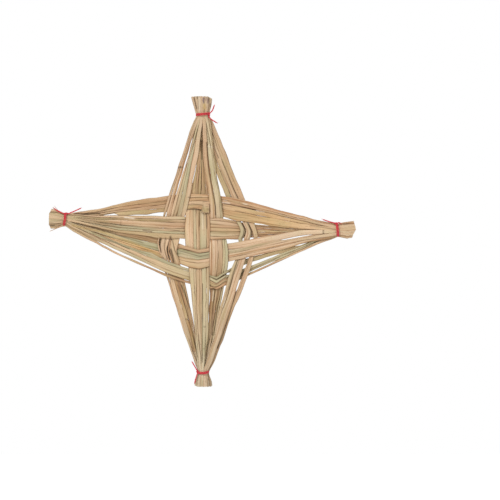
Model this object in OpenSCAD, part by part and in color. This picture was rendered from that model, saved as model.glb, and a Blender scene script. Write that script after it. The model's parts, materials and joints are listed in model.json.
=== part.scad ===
// Straw cross: four upright ribbons and four crosswise ribbons of flattened straw are
// plain-woven at the centre, drawn together at the end of each arm and bound with thread.
// X runs to the right, Z up and the face looks along -Y. The origin is the hanging point,
// in the fork of the straws just under the upper binding.

/* [Reach] */
// From the weave's centre up to the end of the upper tuft
reach_up = 107.2; // [97:0.1:125]
// From the weave's centre down to the end of the lower tuft
reach_down = 109.4; // [99:0.1:130]
// From the weave's centre to the end of the left tuft
reach_left = 116; // [104:0.1:135]
// From the weave's centre to the end of the right tuft
reach_right = 113.6; // [103:0.1:135]
// How far the left binding sits above the weave's centre
rise_left = 15.2; // [8:0.1:20]
// How far the right binding sits above the weave's centre
rise_right = 7.8; // [2:0.1:14]
// How far the upper and lower bindings sit left of the weave's centre
shift_ends = 0.8; // [0:0.1:4]

/* [Weave] */
// Width and height of the woven field, which sets the place of every straw in it
weave_span = 74.6; // [66:0.1:80]
// Thickness of a flattened straw in the weave
straw_t = 0.8; // [0.5:0.05:1]
// Clearance between straws that cross or lie side by side
straw_gap = 0.1; // [0.05:0.01:0.25]
// Width of the bevel along each edge of a straw
bevel_w = 0.5; // [0.2:0.05:0.8]
// Least half length of the bend where a straw passes from the front to the back
bend_half = 0.6; // [0.5:0.05:1]

/* [Bundles] */
// Radius of the upper bundle of straws inside its binding
bundle_r_up = 4; // [3.4:0.05:4.6]
// Radius of the lower bundle
bundle_r_down = 3.45; // [3:0.05:4.4]
// Radius of the left bundle
bundle_r_left = 3.5; // [3:0.05:4.4]
// Radius of the right bundle
bundle_r_right = 4.05; // [3.4:0.05:4.6]
// Length of the straight waist that the binding grips
waist_len = 3.4; // [3:0.1:5]

/* [Tufts] */
// Length of the upper tuft beyond the middle of its binding
tuft_len_up = 13.6; // [9:0.1:18]
// Length of the lower tuft
tuft_len_down = 11; // [8:0.1:16]
// Length of the left tuft
tuft_len_left = 12.5; // [9:0.1:17]
// Length of the right tuft
tuft_len_right = 14; // [9:0.1:18]
// Width of the upper tuft across its cut ends
tuft_w_up = 15.6; // [10:0.1:20]
// Width of the lower tuft across its cut ends
tuft_w_down = 12.6; // [9:0.1:18]
// Width of the left tuft across its cut ends
tuft_w_left = 14.4; // [9:0.1:18]
// Width of the right tuft across its cut ends
tuft_w_right = 12.6; // [10:0.1:18]
// How unevenly the straws of a tuft are cut
tuft_jag = 1.2; // [0:0.1:2]

/* [Bindings] */
// Thickness of the binding thread
thread_d = 0.8; // [0.5:0.05:0.9]
// Clearance between the turns of a binding
turn_gap = 0.45; // [0.42:0.01:0.6]
// Clearance between the bundle and the thread
thread_gap = 0.12; // [0.05:0.01:0.3]

/* [Tucked end] */
// Width of the short straw end tucked over the top crosspiece
tucked_w = 5.4; // [3:0.1:6]
// Length of the tucked straw end
tucked_len = 9.6; // [6:0.1:11]

/* [Hidden] */
UPRIGHT = 0;
RIBBON_NAMES = [
    ["left_upright", "mid_left_upright", "mid_right_upright", "right_upright"],
    ["top_crosspiece", "upper_mid_crosspiece", "lower_mid_crosspiece", "bottom_crosspiece"]];
END_NAMES = [["upper", "lower"], ["left", "right"]];

// Places along a ribbon where its straws' edges are given, in hundredths of the weave's
// span from its centre: down for the uprights, to the right for the crosspieces. The first
// and last place lie out on the arms and are worked out below.
station_shares = [[-37, -12, 14, 34], [-34, -6, 13, 39]];
// Where the woven field ends, in hundredths of its span, at the first and second end
field_end_shares = [[-46, 49], [-47, 53]];
// How far out from the field's end to the binding each arm's own place lies
arm_station_share = [[0.5, 0.5], [0.4, 0.54]];
// The two rings of each neck: how far they lie from the binding towards the arm's place,
// and how much of the neck's belly they have
neck_shares = [0.2, 0.72];
neck_belly_shares = [1, 0.48];
// How far each neck bellies out beyond straight sides, in hundredths of the span: towards
// its left or upper side and towards its right or lower side
belly_shares = [[[-3.1, 2.6], [-1.6, 3]], [[0, 3.5], [-1.2, 2]]];

// The seams of every ribbon at the six places, in hundredths of the weave's span from its
// centre: to the right for the uprights, downwards for the crosspieces. A ribbon's first
// and last seam are its outer edges, and each straw fills the width between two seams.
upright_seam_shares = [
    [[-21.6, -19.4, -15.8, -14.1, -13.1, -10.7, -5.3],
     [-37.4, -34.7, -30.5, -27.2, -23.7, -19.8, -15.6],
     [-43.4, -41.1, -36, -33.2, -30.2, -25.5, -22.2],
     [-45.2, -43.2, -38.4, -35.6, -32.4, -27.6, -24.8],
     [-38.4, -36.3, -32, -28.3, -26.2, -23.4, -21],
     [-20.6, -18.8, -15, -12.2, -10.6, -9.6, -8.5]],
    [[-5.2, -4, -2.8, -1.6, -0.4, 1.6],
     [-15.3, -10.6, -7.6, -3.4, 2.4, 4.4],
     [-19.2, -10.6, -7.8, -4, 2.8, 5.8],
     [-17.6, -10, -7.2, -4, 2.5, 5.2],
     [-14.6, -10, -7.8, -2, 2.2, 5.2],
     [-8.9, -7.4, -6, -1.6, 2.2, 4.8]],
    [[-1.1, 4.2, 8.6, 9.6, 10.4],
     [5.6, 11, 15.6, 16.6, 17.6],
     [6.2, 12.4, 17.2, 18.8, 20.4],
     [6.1, 14.4, 19, 21.4, 24.2],
     [6, 12.4, 17.4, 19.4, 21.6],
     [4.9, 7, 8.9, 10.6, 12.6]],
    [[6, 10.4, 15.9, 22.9],
     [24.5, 29.8, 36, 42.3],
     [35.6, 40.6, 46.8, 52.4],
     [33, 37, 44.4, 50.2],
     [25.3, 30.4, 37.8, 44.3],
     [10.8, 12.6, 19, 22.3]]];
crosswise_seam_shares = [
    [[-36.3, -33.3, -30.2, -28.4, -26.4],
     [-44.8, -39.9, -36.3, -32.2, -28.2],
     [-45.8, -42.7, -39.5, -35.6, -31.4],
     [-44.6, -41.4, -37.2, -31.8, -25],
     [-40.2, -35.4, -32.6, -27.4, -19.2],
     [-24, -21.4, -19.4, -16.6, -11]],
    [[-24.8, -22.1, -20.2, -15, -12.4, -10, -7.2],
     [-23.8, -20.8, -17.6, -11.7, -8.7, -6.6, -2],
     [-22.4, -20.2, -16.6, -12.2, -8.8, -5.2, -1.4],
     [-21.2, -19.6, -15.4, -12.4, -8.8, -3.4, -0.6],
     [-17.4, -15.6, -13.6, -11.2, -8.6, -4.8, -2.2],
     [-11.6, -10.8, -9.9, -8.8, -7.9, -6.9, -5.6]],
    [[-9.5, -4.5, 0, 1.4, 4.6],
     [0.4, 7, 14, 17, 20.4],
     [9.4, 16.5, 19.9, 23, 28.8],
     [5.2, 11.2, 16, 19.4, 23.9],
     [1, 7.6, 10.8, 14.8, 18.4],
     [-10.3, -3.8, -1.6, 1, 4.6]],
    [[3, 5.4, 8, 12.7, 16],
     [22, 24.8, 30.8, 34.6, 37.6],
     [31.6, 34.6, 39.2, 43, 45.6],
     [37.2, 39.9, 43.4, 46.9, 49.1],
     [19.8, 26.9, 32, 35, 38],
     [4.6, 6.4, 8, 9.8, 11.8]]];
seam_shares = [upright_seam_shares, crosswise_seam_shares];

// Seams that stand open: group, ribbon, seam and the slit's width at the six places, in
// hundredths of the weave's span
slit_shares = [
    [0, 0, 1, [0, 0.4, 1.6, 0.5, 0.5, 0]],
    [0, 0, 2, [1.4, 0.3, 0, 0, 0, 0]],
    [0, 3, 2, [0, 0, 0.6, 3.4, 2.2, 0]],
    [1, 2, 1, [0, 0, 0, 0, 0, 1.3]],
    [1, 3, 1, [0, 0, 0.3, 0.3, 3.7, 0]],
    [1, 3, 3, [2.6, 1.3, 0, 0, 0, 0]]];

// Colours of the straws, and which of them each straw has
straw_colours = ["#d8ba92", "#bcb592", "#dcb07a", "#b3906a"];
tint_picks = [
    [[0, 0, 2, 3, 1, 0], [2, 1, 3, 1, 0], [2, 1, 1, 1], [1, 0, 3]],
    [[2, 3, 3, 3], [1, 1, 0, 3, 1, 0], [0, 1, 2, 2], [1, 1, 3, 3]]];
thread_colour = "#c32b38";

// Layers of a bundle, in shares of its radius: the depth of each layer's two faces, and
// how far its straws reach sideways
layer_depth_shares = [[0, 0.5], [0.5, 0.88]];
layer_reach_shares = [0.95, 0.66];
// Radius that holds every straw of a bundle, as a share of the bundle's radius
bundle_hull_share = 1.08;
// How the tuft opens: the share of its length and of its flare at each ring
tuft_len_shares = [1, 0.42];
tuft_open_shares = [1, 0.82];
// How far each tuft leans over at its end, in hundredths of the span, right or down
tuft_lean_shares = [[-1.4, 0.6], [-0.7, 0]];
// How much of a tuft's sideways flare its depth follows, and how full the straws stay
tuft_depth_share = 0.8;
tuft_fill_share = 0.93;

// How much of a straw's width its flat face takes, at least and at most
flat_shares = [0.15, 0.6];

// Turns of each binding, and the steps that draw a turn, a thread's tail and its sides
turns = 2;
turn_steps = 24;
tail_steps = 6;
thread_sides = 6;
// Side of each arm on which its knot lies, seen from the front: 1 is right or up
knot_side = [[1, -1], [1, 1]];
// How far each knot is turned from that side towards the front
knot_turn = 24;
// Tips of the two tails of each binding from its knot: outward along the arm, away from
// the arm's middle line, and towards the front
tail_tips = [
    [[[6, 3.6, 0.6], [-7, 5.6, 0.8]], [[8.4, 2.4, 1.5], [-7, 3.4, 1.2]]],
    [[[8, 4.4, 1.2], [-11.2, 4, 0.8]], [[2.4, 0.6, 0.6], [-9.6, 2.2, 1]]]];
// How far a tail runs on along its turn before it bends away
tail_lead = 2;

// Where the tucked straw end lies in the weave, in hundredths of the span, and its crown
tucked_at_shares = [2.1, -33.4];
tucked_thick_shares = [0.35, 0.8, 1, 0.9, 0.4];
tucked_wide_shares = [0.9, 1, 1, 0.97, 0.85];

// Half the distance between the middles of a front and a back straw where they cross
layer_half = (straw_t + straw_gap) / 2;
reach = [[reach_up, reach_down], [reach_left, reach_right]];
tuft_len = [[tuft_len_up, tuft_len_down], [tuft_len_left, tuft_len_right]];
tuft_w = [[tuft_w_up, tuft_w_down], [tuft_w_left, tuft_w_right]];
bundle_r = [[bundle_r_up, bundle_r_down], [bundle_r_left, bundle_r_right]];
tie_side = [[-shift_ends, -shift_ends], [-rise_left, -rise_right]];
tie_place = [for (g = [0, 1]) [tuft_len[g][0] - reach[g][0], reach[g][1] - tuft_len[g][1]]];
thread_pitch = thread_d + turn_gap;
// The hanging point lies against the inner end of the upper waist
hang_to_weave = -tie_place[0][0] - waist_len / 2 - thread_d;

function hundredths(v) = v / 100 * weave_span;
function mix(a, b, t) = a + (b - a) * t;
function end_sign(e) = 2 * e - 1;

// Smooth curve through ascending [place, value] points, straight in its first and last
// stretch, which run from an arm's place to the binding
function steepness(p, i) =
    let (last = len(p) - 1, a = p[i >= last - 1 ? last - 1 : max(i - 1, 0)],
         b = p[i <= 1 ? 1 : min(i + 1, last)])
    (b[1] - a[1]) / (b[0] - a[0]);
function curve(p, x) =
    let (k = max([0, each [for (i = [0:len(p) - 2]) if (x >= p[i][0]) i]]),
         a = p[k], b = p[k + 1], w = b[0] - a[0], t = (x - a[0]) / w)
    a[1] * (2 * t^3 - 3 * t^2 + 1) + steepness(p, k) * w * (t^3 - 2 * t^2 + t)
    + b[1] * (3 * t^2 - 2 * t^3) + steepness(p, k + 1) * w * (t^3 - t^2);

// Where a group's arms have their own place, and all six places of a group
function arm_place(g, e) = mix(hundredths(field_end_shares[g][e]), tie_place[g][e], arm_station_share[g][e]);
places = [for (g = [0, 1]) [arm_place(g, 0), for (s = station_shares[g]) hundredths(s), arm_place(g, 1)]];

// Whether a ribbon lies at the front where it crosses ribbon k of the other group
function is_front(g, b, k) = (b + k) % 2 == g;
function depth_sign(g, b, k) = is_front(g, b, k) ? -1 : 1;
// An arm keeps the side that its ribbon has at the outermost crossing
function arm_sign(g, b, e) = depth_sign(g, b, 3 * e);

// Seat of straw i of a ribbon in the bundle at end e: two edges, depth and thickness
function straw_count(g, b) = len(seam_shares[g][b][0]) - 1;
function seat(g, b, i, e) =
    let (n = straw_count(g, b), half = b < 2 ? -1 : 1, k = half < 0 ? i : n - 1 - i, layer = k % 2,
         m = floor(k / 2), count = layer == 0 ? ceil(n / 2) : floor(n / 2), r = bundle_r[g][e],
         rim = half * r * layer_reach_shares[layer], faces = layer_depth_shares[layer],
         a = rim * (1 - m / count), b1 = rim * (1 - (m + 1) / count))
    [tie_side[g][e] + min(a, b1), tie_side[g][e] + max(a, b1),
     arm_sign(g, b, e) * (faces[0] + faces[1]) / 2 * r, (faces[1] - faces[0]) * r - straw_gap, layer];

// Width of the slit that stands open at seam q of a ribbon, at place k
function slit(g, b, k, q) =
    let (open = [for (s = slit_shares) if (s[0] == g && s[1] == b && s[2] == q) s[3][k]])
    len(open) > 0 ? open[0] : 0;

// An edge of a straw along the whole ribbon, from waist to waist
function waist_place(g, e, out) = tie_place[g][e] + end_sign(e) * (out ? 1 : -1) * waist_len / 2;
function edge_points(g, b, i, j) =
    [[waist_place(g, 0, false), seat(g, b, i, 0)[j]],
     for (k = [0:5]) [places[g][k],
         hundredths(seam_shares[g][b][k][i + j] - end_sign(j) * slit(g, b, k, i + j) / 2)],
     [waist_place(g, 1, false), seat(g, b, i, 1)[j]]];
all_edges = [for (g = [0, 1]) [for (b = [0:3]) [for (i = [0:straw_count(g, b) - 1])
    [edge_points(g, b, i, 0), edge_points(g, b, i, 1)]]]];
// The outer edges of a whole ribbon at a place along it
function ribbon_edge(g, b, j, x) = curve(all_edges[g][b][j * (straw_count(g, b) - 1)][j], x);

// A ring of a straw's outline: [along, side, depth] for each point of its section
function ring_at(x, edges, depth, t) =
    let (mid = (edges[0] + edges[1]) / 2, half = (edges[1] - edges[0] - straw_gap) / 2,
         flat = min(flat_shares[1], max(flat_shares[0], 1 - bevel_w / half)))
    [for (p = [[-1, 0], [-flat, 1], [flat, 1], [1, 0], [flat, -1], [-flat, -1]])
        [x, mid + p[0] * half, depth + p[1] * t / 2]];

function tuft_ring(g, b, i, e, k) =
    let (s = seat(g, b, i, e), c = tie_side[g][e], r = bundle_r[g][e], w = waist_len / 2,
         flare = tuft_w[g][e] / 2 / (r * layer_reach_shares[0]),
         open = 1 + (flare - 1) * tuft_open_shares[k],
         deep = 1 + (flare - 1) * tuft_open_shares[k] * tuft_depth_share,
         jag = tuft_jag * (0.5 + 0.5 * sin(137 * (3 * i + 5 * b + 7 * e + 11 * g))),
         len = w + (tuft_len[g][e] - w - (i == 0 && b == 1 + e ? 0 : jag)) * tuft_len_shares[k],
         lean = hundredths(tuft_lean_shares[g][e]) * tuft_open_shares[k],
         mid = c + lean + ((s[0] + s[1]) / 2 - c) * open, half = (s[1] - s[0]) / 2 * open * tuft_fill_share)
    ring_at(tie_place[g][e] + end_sign(e) * len, [mid - half, mid + half], s[2] * deep, s[3]);

function waist_ring(g, b, i, e, out) =
    let (s = seat(g, b, i, e)) ring_at(waist_place(g, e, out), [s[0], s[1]], s[2], s[3]);

function arm_ring(g, b, i, e) =
    let (x = arm_place(g, e), edges = all_edges[g][b][i])
    ring_at(x, [curve(edges[0], x), curve(edges[1], x)], arm_sign(g, b, e) * layer_half, straw_t);

// Ring k of a neck. The second ring's straws still lie in their layers, and the first lies
// on the way from there to the waist.
function bellied(g, e, k, x, v) =
    let (c = tie_side[g][e], j = v < c ? 0 : 1, belly = hundredths(belly_shares[g][e][j]))
    v + belly * neck_belly_shares[k] * (v - c) / (ribbon_edge(g, 3 * j, j, x) - c);
function neck_ring(g, b, i, e, k) =
    let (s = seat(g, b, i, e), x = mix(waist_place(g, e, false), arm_place(g, e), neck_shares[k]),
         way = neck_shares[k] / neck_shares[1])
    ring_at(x, [for (line = all_edges[g][b][i]) bellied(g, e, k, x, curve(line, x))],
            mix(s[2], arm_sign(g, b, e) * (layer_half + s[4] * (straw_t + straw_gap)), way),
            mix(s[3], straw_t, way));

// Where something at this place across meets crossing ribbon k: at its near edge (j = 0) or
// its far edge (j = 1), drawn back by what the bend needs beyond the gap to the next
// ribbon, or at its middle (j = 2)
function cross_place(g, k, j, side) =
    j == 2 ? mix(cross_place(g, k, 0, side), cross_place(g, k, 1, side), 0.5) :
    let (o = 1 - g, own = ribbon_edge(o, k, j, side), next = k + end_sign(j),
         room = next < 0 || next > 3 ? 2 * bend_half
                : end_sign(j) * (ribbon_edge(o, next, 1 - j, side) - own))
    own - end_sign(j) * max(0, bend_half - room / 2);
// Where a line meets the crossing, found in a few steps from a first guess
function meet(g, k, j, line, x, steps = 5) =
    steps == 0 ? [x, curve(line, x)] : meet(g, k, j, line, cross_place(g, k, j, curve(line, x)), steps - 1);
// The ring that runs from where one edge of a straw meets the crossing to where the other does
function cross_ring(g, b, i, k, j) =
    let (meets = [for (line = all_edges[g][b][i]) meet(g, k, j, line, places[g][k + 1])],
         lean = (meets[1][0] - meets[0][0]) / (meets[1][1] - meets[0][1]))
    [for (p = ring_at(0, [meets[0][1], meets[1][1]], depth_sign(g, b, k) * layer_half, straw_t))
        [meets[0][0] + lean * (p[1] - meets[0][1]), p[1], p[2]]];

function straw_rings(g, b, i) = [
    for (k = [0:len(tuft_len_shares) - 1]) tuft_ring(g, b, i, 0, k),
    waist_ring(g, b, i, 0, true), waist_ring(g, b, i, 0, false),
    neck_ring(g, b, i, 0, 0), neck_ring(g, b, i, 0, 1), arm_ring(g, b, i, 0),
    for (k = [0:3]) each [cross_ring(g, b, i, k, 0), cross_ring(g, b, i, k, 2), cross_ring(g, b, i, k, 1)],
    arm_ring(g, b, i, 1), neck_ring(g, b, i, 1, 1), neck_ring(g, b, i, 1, 0),
    waist_ring(g, b, i, 1, false), waist_ring(g, b, i, 1, true),
    for (k = [len(tuft_len_shares) - 1:-1:0]) tuft_ring(g, b, i, 1, k)];

// Turns [along, side, depth] of a group into the part's own frame
function placed(g, p) = g == UPRIGHT ? [p[1] + shift_ends, p[2], -p[0] - hang_to_weave]
                                     : [p[0] + shift_ends, p[2], -p[1] - hang_to_weave];

// A closed skin over rings that have as many points each
module skin(rings, flip) {
    n = len(rings[0]);
    last = (len(rings) - 1) * n;
    sides = [for (a = [0:n:last - n], k = [0:n - 1]) let (c = (k + 1) % n)
        each [[a + k, a + c, a + n + c], [a + k, a + n + c, a + n + k]]];
    ends = [for (k = [1:n - 2]) each [[0, k + 1, k], [last, last + k, last + k + 1]]];
    faces = concat(sides, ends);
    polyhedron([for (r = rings) each r], flip ? [for (f = faces) [f[2], f[1], f[0]]] : faces);
}

module straw(g, b, i) {
    color(straw_colours[tint_picks[g][b][i]])
        skin([for (r = straw_rings(g, b, i)) [for (p = r) placed(g, p)]], g == UPRIGHT);
}

// The short straw end that lies over the top crosspiece beside the mid left upright
module tucked_end() {
    n = len(tucked_thick_shares) - 1;
    front = -3 * layer_half - straw_gap;
    mid = hundredths(tucked_at_shares[0]);
    rings = [for (k = [0:n])
        ring_at(hundredths(tucked_at_shares[1]) + (k / n - 0.5) * tucked_len,
                [mid - tucked_w / 2 * tucked_wide_shares[k], mid + tucked_w / 2 * tucked_wide_shares[k]],
                front - straw_gap, straw_t * tucked_thick_shares[k])];
    color(straw_colours[1]) skin([for (r = rings) [for (p = r) placed(UPRIGHT, p)]], true);
}

// The route of a binding in [along, side, depth]: tail, turns and tail in one run
function thread_r(g, e) = bundle_r[g][e] * bundle_hull_share + thread_gap + thread_d / 2;
function turn_point(g, e, a) =
    let (k = knot_side[g][e] * (g == UPRIGHT ? 1 : -1), r = thread_r(g, e))
    [tie_place[g][e] + end_sign(e) * (0.5 - a / 360 / turns) * turns * thread_pitch,
     tie_side[g][e] + k * r * cos(a + knot_turn), -r * sin(a + knot_turn)];
function turn_heading(g, e, a) = let (d = turn_point(g, e, a + 1) - turn_point(g, e, a)) d / norm(d);
function tail_tip(g, e, q) =
    let (t = tail_tips[g][e][q], k = knot_side[g][e] * (g == UPRIGHT ? 1 : -1),
         knot = turn_point(g, e, q * 360 * turns))
    [tie_place[g][e] + end_sign(e) * t[0], knot[1] + k * t[1], knot[2] - t[2]];
function bezier(a, b, c, d, t) =
    (1 - t)^3 * a + 3 * (1 - t)^2 * t * b + 3 * (1 - t) * t^2 * c + t^3 * d;
function tail_points(g, e, q) =
    let (a = q * 360 * turns, knot = turn_point(g, e, a), tip = tail_tip(g, e, q),
         lead = knot + (2 * q - 1) * tail_lead * turn_heading(g, e, a))
    [for (k = [1:tail_steps]) bezier(knot, lead, mix(lead, tip, 0.4), tip, k / tail_steps)];
function thread_route(g, e) = concat(
    [for (k = [tail_steps - 1:-1:0]) tail_points(g, e, 0)[k]],
    [for (k = [0:turns * turn_steps]) turn_point(g, e, k * 360 / turn_steps)],
    tail_points(g, e, 1));

function unit(v) = v / norm(v);
function thread_rings(route) = let (n = len(route) - 1) [for (k = [0:n])
    let (heading = unit(route[min(k + 1, n)] - route[max(k - 1, 0)]),
         across = unit(cross(heading, [1, 0, 0])), up = cross(across, heading))
    [for (s = [0:thread_sides - 1]) let (a = 360 * s / thread_sides)
        route[k] + thread_d / 2 * (cos(a) * across + sin(a) * up)]];

// Least gap of a thread to itself, between points that lie a quarter turn or more apart
function own_gap(route) =
    let (far = turn_steps / 4)
    min([for (i = [0:len(route) - 1]) for (j = [i + far:len(route) - 1]) norm(route[i] - route[j])])
    - thread_d;

module binding(g, e) {
    route = thread_route(g, e);
    echo(str(END_NAMES[g][e], "_binding least gap to itself"), own_gap(route));
    color(thread_colour)
        skin([for (r = thread_rings(route)) [for (p = r) placed(g, p)]], g == UPRIGHT);
}

function straw_name(g, b, i) = str(RIBBON_NAMES[g][b], "_straw_", i + 1);
function binding_name(g, e) = str(END_NAMES[g][e], "_binding");

for (g = [0, 1], b = [0:3], i = [0:straw_count(g, b) - 1])
    straw(g, b, i);
for (g = [0, 1], e = [0, 1])
    binding(g, e);
tucked_end();
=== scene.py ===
"""Straw cross: flattened wheat straws in eight woven ribbons, bound at four ends with red thread.

Each straw takes its line, its edges and its depth from its own solid in the frame, and gets
the round edges, creases, stem joints, cut ends and colours of dried straw. Lengths are metres,
and pixels are the photograph's.
"""

import json
import math

import bpy
import numpy as np
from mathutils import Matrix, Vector


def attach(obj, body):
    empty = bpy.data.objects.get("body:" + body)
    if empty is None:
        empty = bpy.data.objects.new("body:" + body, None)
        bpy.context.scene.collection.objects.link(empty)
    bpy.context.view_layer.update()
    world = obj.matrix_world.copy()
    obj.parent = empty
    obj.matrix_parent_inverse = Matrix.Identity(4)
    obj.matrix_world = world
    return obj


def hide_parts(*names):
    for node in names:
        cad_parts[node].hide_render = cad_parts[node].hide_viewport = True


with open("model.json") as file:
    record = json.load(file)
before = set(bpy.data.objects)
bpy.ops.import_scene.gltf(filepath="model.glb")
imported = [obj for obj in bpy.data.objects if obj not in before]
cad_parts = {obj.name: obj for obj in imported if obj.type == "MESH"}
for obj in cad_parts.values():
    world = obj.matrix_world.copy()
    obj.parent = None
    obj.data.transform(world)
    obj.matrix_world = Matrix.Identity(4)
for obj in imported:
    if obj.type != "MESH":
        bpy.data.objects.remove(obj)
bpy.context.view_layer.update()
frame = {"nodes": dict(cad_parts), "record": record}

MM = 0.001

# The photograph: its size in pixels, how much of the object one pixel covers, and the pixel
# that shows the hanging point, which is the frame's origin
PHOTO_SIZE = 500
PIXEL = 0.746 * MM
ORIGIN_PX = (202.93, 118.0)
WEAVE_CENTRE = np.array([0.8, 0, -91.1]) * MM

# A long lens, square to the face
LENS = 100.0
SENSOR = 36.0
# Soft lamps: place, size and power
FACE_MIDDLE = (0.0, 0.0, -0.09)
LAMPS = {
    "key": ((-0.7, -1.1, 0.7), 0.9, 13.0),
    "fill": ((0.9, -0.9, 0.1), 1.2, 3.0),
    "rear": ((0.4, 1.2, 0.5), 1.2, 6.0)}
SKY_LIGHT = 0.5  # even light from all round
FLOOR_HALF = 0.6
FLOOR_LEVEL = -0.34
FLOOR_SQUARES = 8
FLOOR_LIFT = 0.35  # makes up to the eye for the shade that the floor lies in

# Tones of dried straw
TONES = {
    "w": "#dfc3a4",   # palest, almost white
    "p": "#d6b796",   # pinkish pale
    "t": "#cfb08c",   # plain tan
    "o": "#d5ae7d",   # golden
    "g": "#c6b591",   # green tan
    "l": "#dacaa5",   # pale green tan
    "y": "#b6ac8a",   # greyish green, cut unripe
    "v": "#bda277",   # olive
    "k": "#c7a37f",   # rosy tan
    "b": "#b9936d",   # brown tan; on straws that lie in shadow it is also painted shade
    "d": "#9c7a54"}   # dark weathered brown
# Every ribbon, with the tones of each of its straws at the upper or left arm, in the weave
# and at the lower or right arm
UPRIGHTS = {
    "left_upright": ("kpk", "kpt", "tpv", "gkb", "ytb", "ptb"),
    "mid_left_upright": ("vpg", "bgt", "vtt", "bgg", "btg"),
    "mid_right_upright": ("kwd", "lpb", "ggv", "vyg"),
    "right_upright": ("vgt", "tpp", "ktt")}
CROSSPIECES = {
    "top_crosspiece": ("btk", "bbk", "kto", "vbo"),
    "upper_mid_crosspiece": ("tpb", "vpk", "tkb", "ykv", "ygb", "vtb"),
    "lower_mid_crosspiece": ("dkw", "yyp", "opp", "otp"),
    "bottom_crosspiece": ("yyv", "tgy", "gvy", "kbk")}
TUCKED_TONES = "ktv"
# The straws of a tuft have weathered alike
TUFT_TONES = {"upper": "#cbb294", "lower": "#c9bca1", "left": "#d4b795", "right": "#d4bb99"}
TUFT_SHARE = 0.7  # of a tuft's own tone in the colour of its straws
TONE_REACH = 48 * MM  # from the weave's centre to the places of the arms' tones
TUFT_REACH = 2.1 * TONE_REACH
TONE_WAVE = 45 * MM
TONE_DRIFT = 0.05  # each straw's tone drifts along it by this share
TONE_SPREAD = (0.94, 1.06)  # and is darker or paler as a whole within these
# Painted shade: the brown that darkens the seams between neighbouring straws
SEAM_SHADE_BROWN = "#7f5c3c"
# Painted shade: the brown inside the hollow of a cut end
MOUTH_SHADE_BROWN = "#7d6040"
MOUTH_SHADES = (1, 0.25)  # how strong the painted shade is, at the bottom of a cut end's hollow and at its rim

# Stem joints: straw, place along it from the weave's centre and how dark it is
STEM_JOINTS = {
    "left_upright_straw_1": [(-54 * MM, 1.0)],
    "left_upright_straw_3": [(59 * MM, 0.8)],
    "mid_left_upright_straw_4": [(64.5 * MM, 0.6), (81 * MM, 0.5)],
    "lower_mid_crosspiece_straw_1": [(89 * MM, 1.0)],
    "upper_mid_crosspiece_straw_3": [(-62 * MM, 0.4)]}
JOINT_WIDTH = 0.45 * MM
JOINT_SWELL = 0.3  # a straw is this share thicker at a joint
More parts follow.
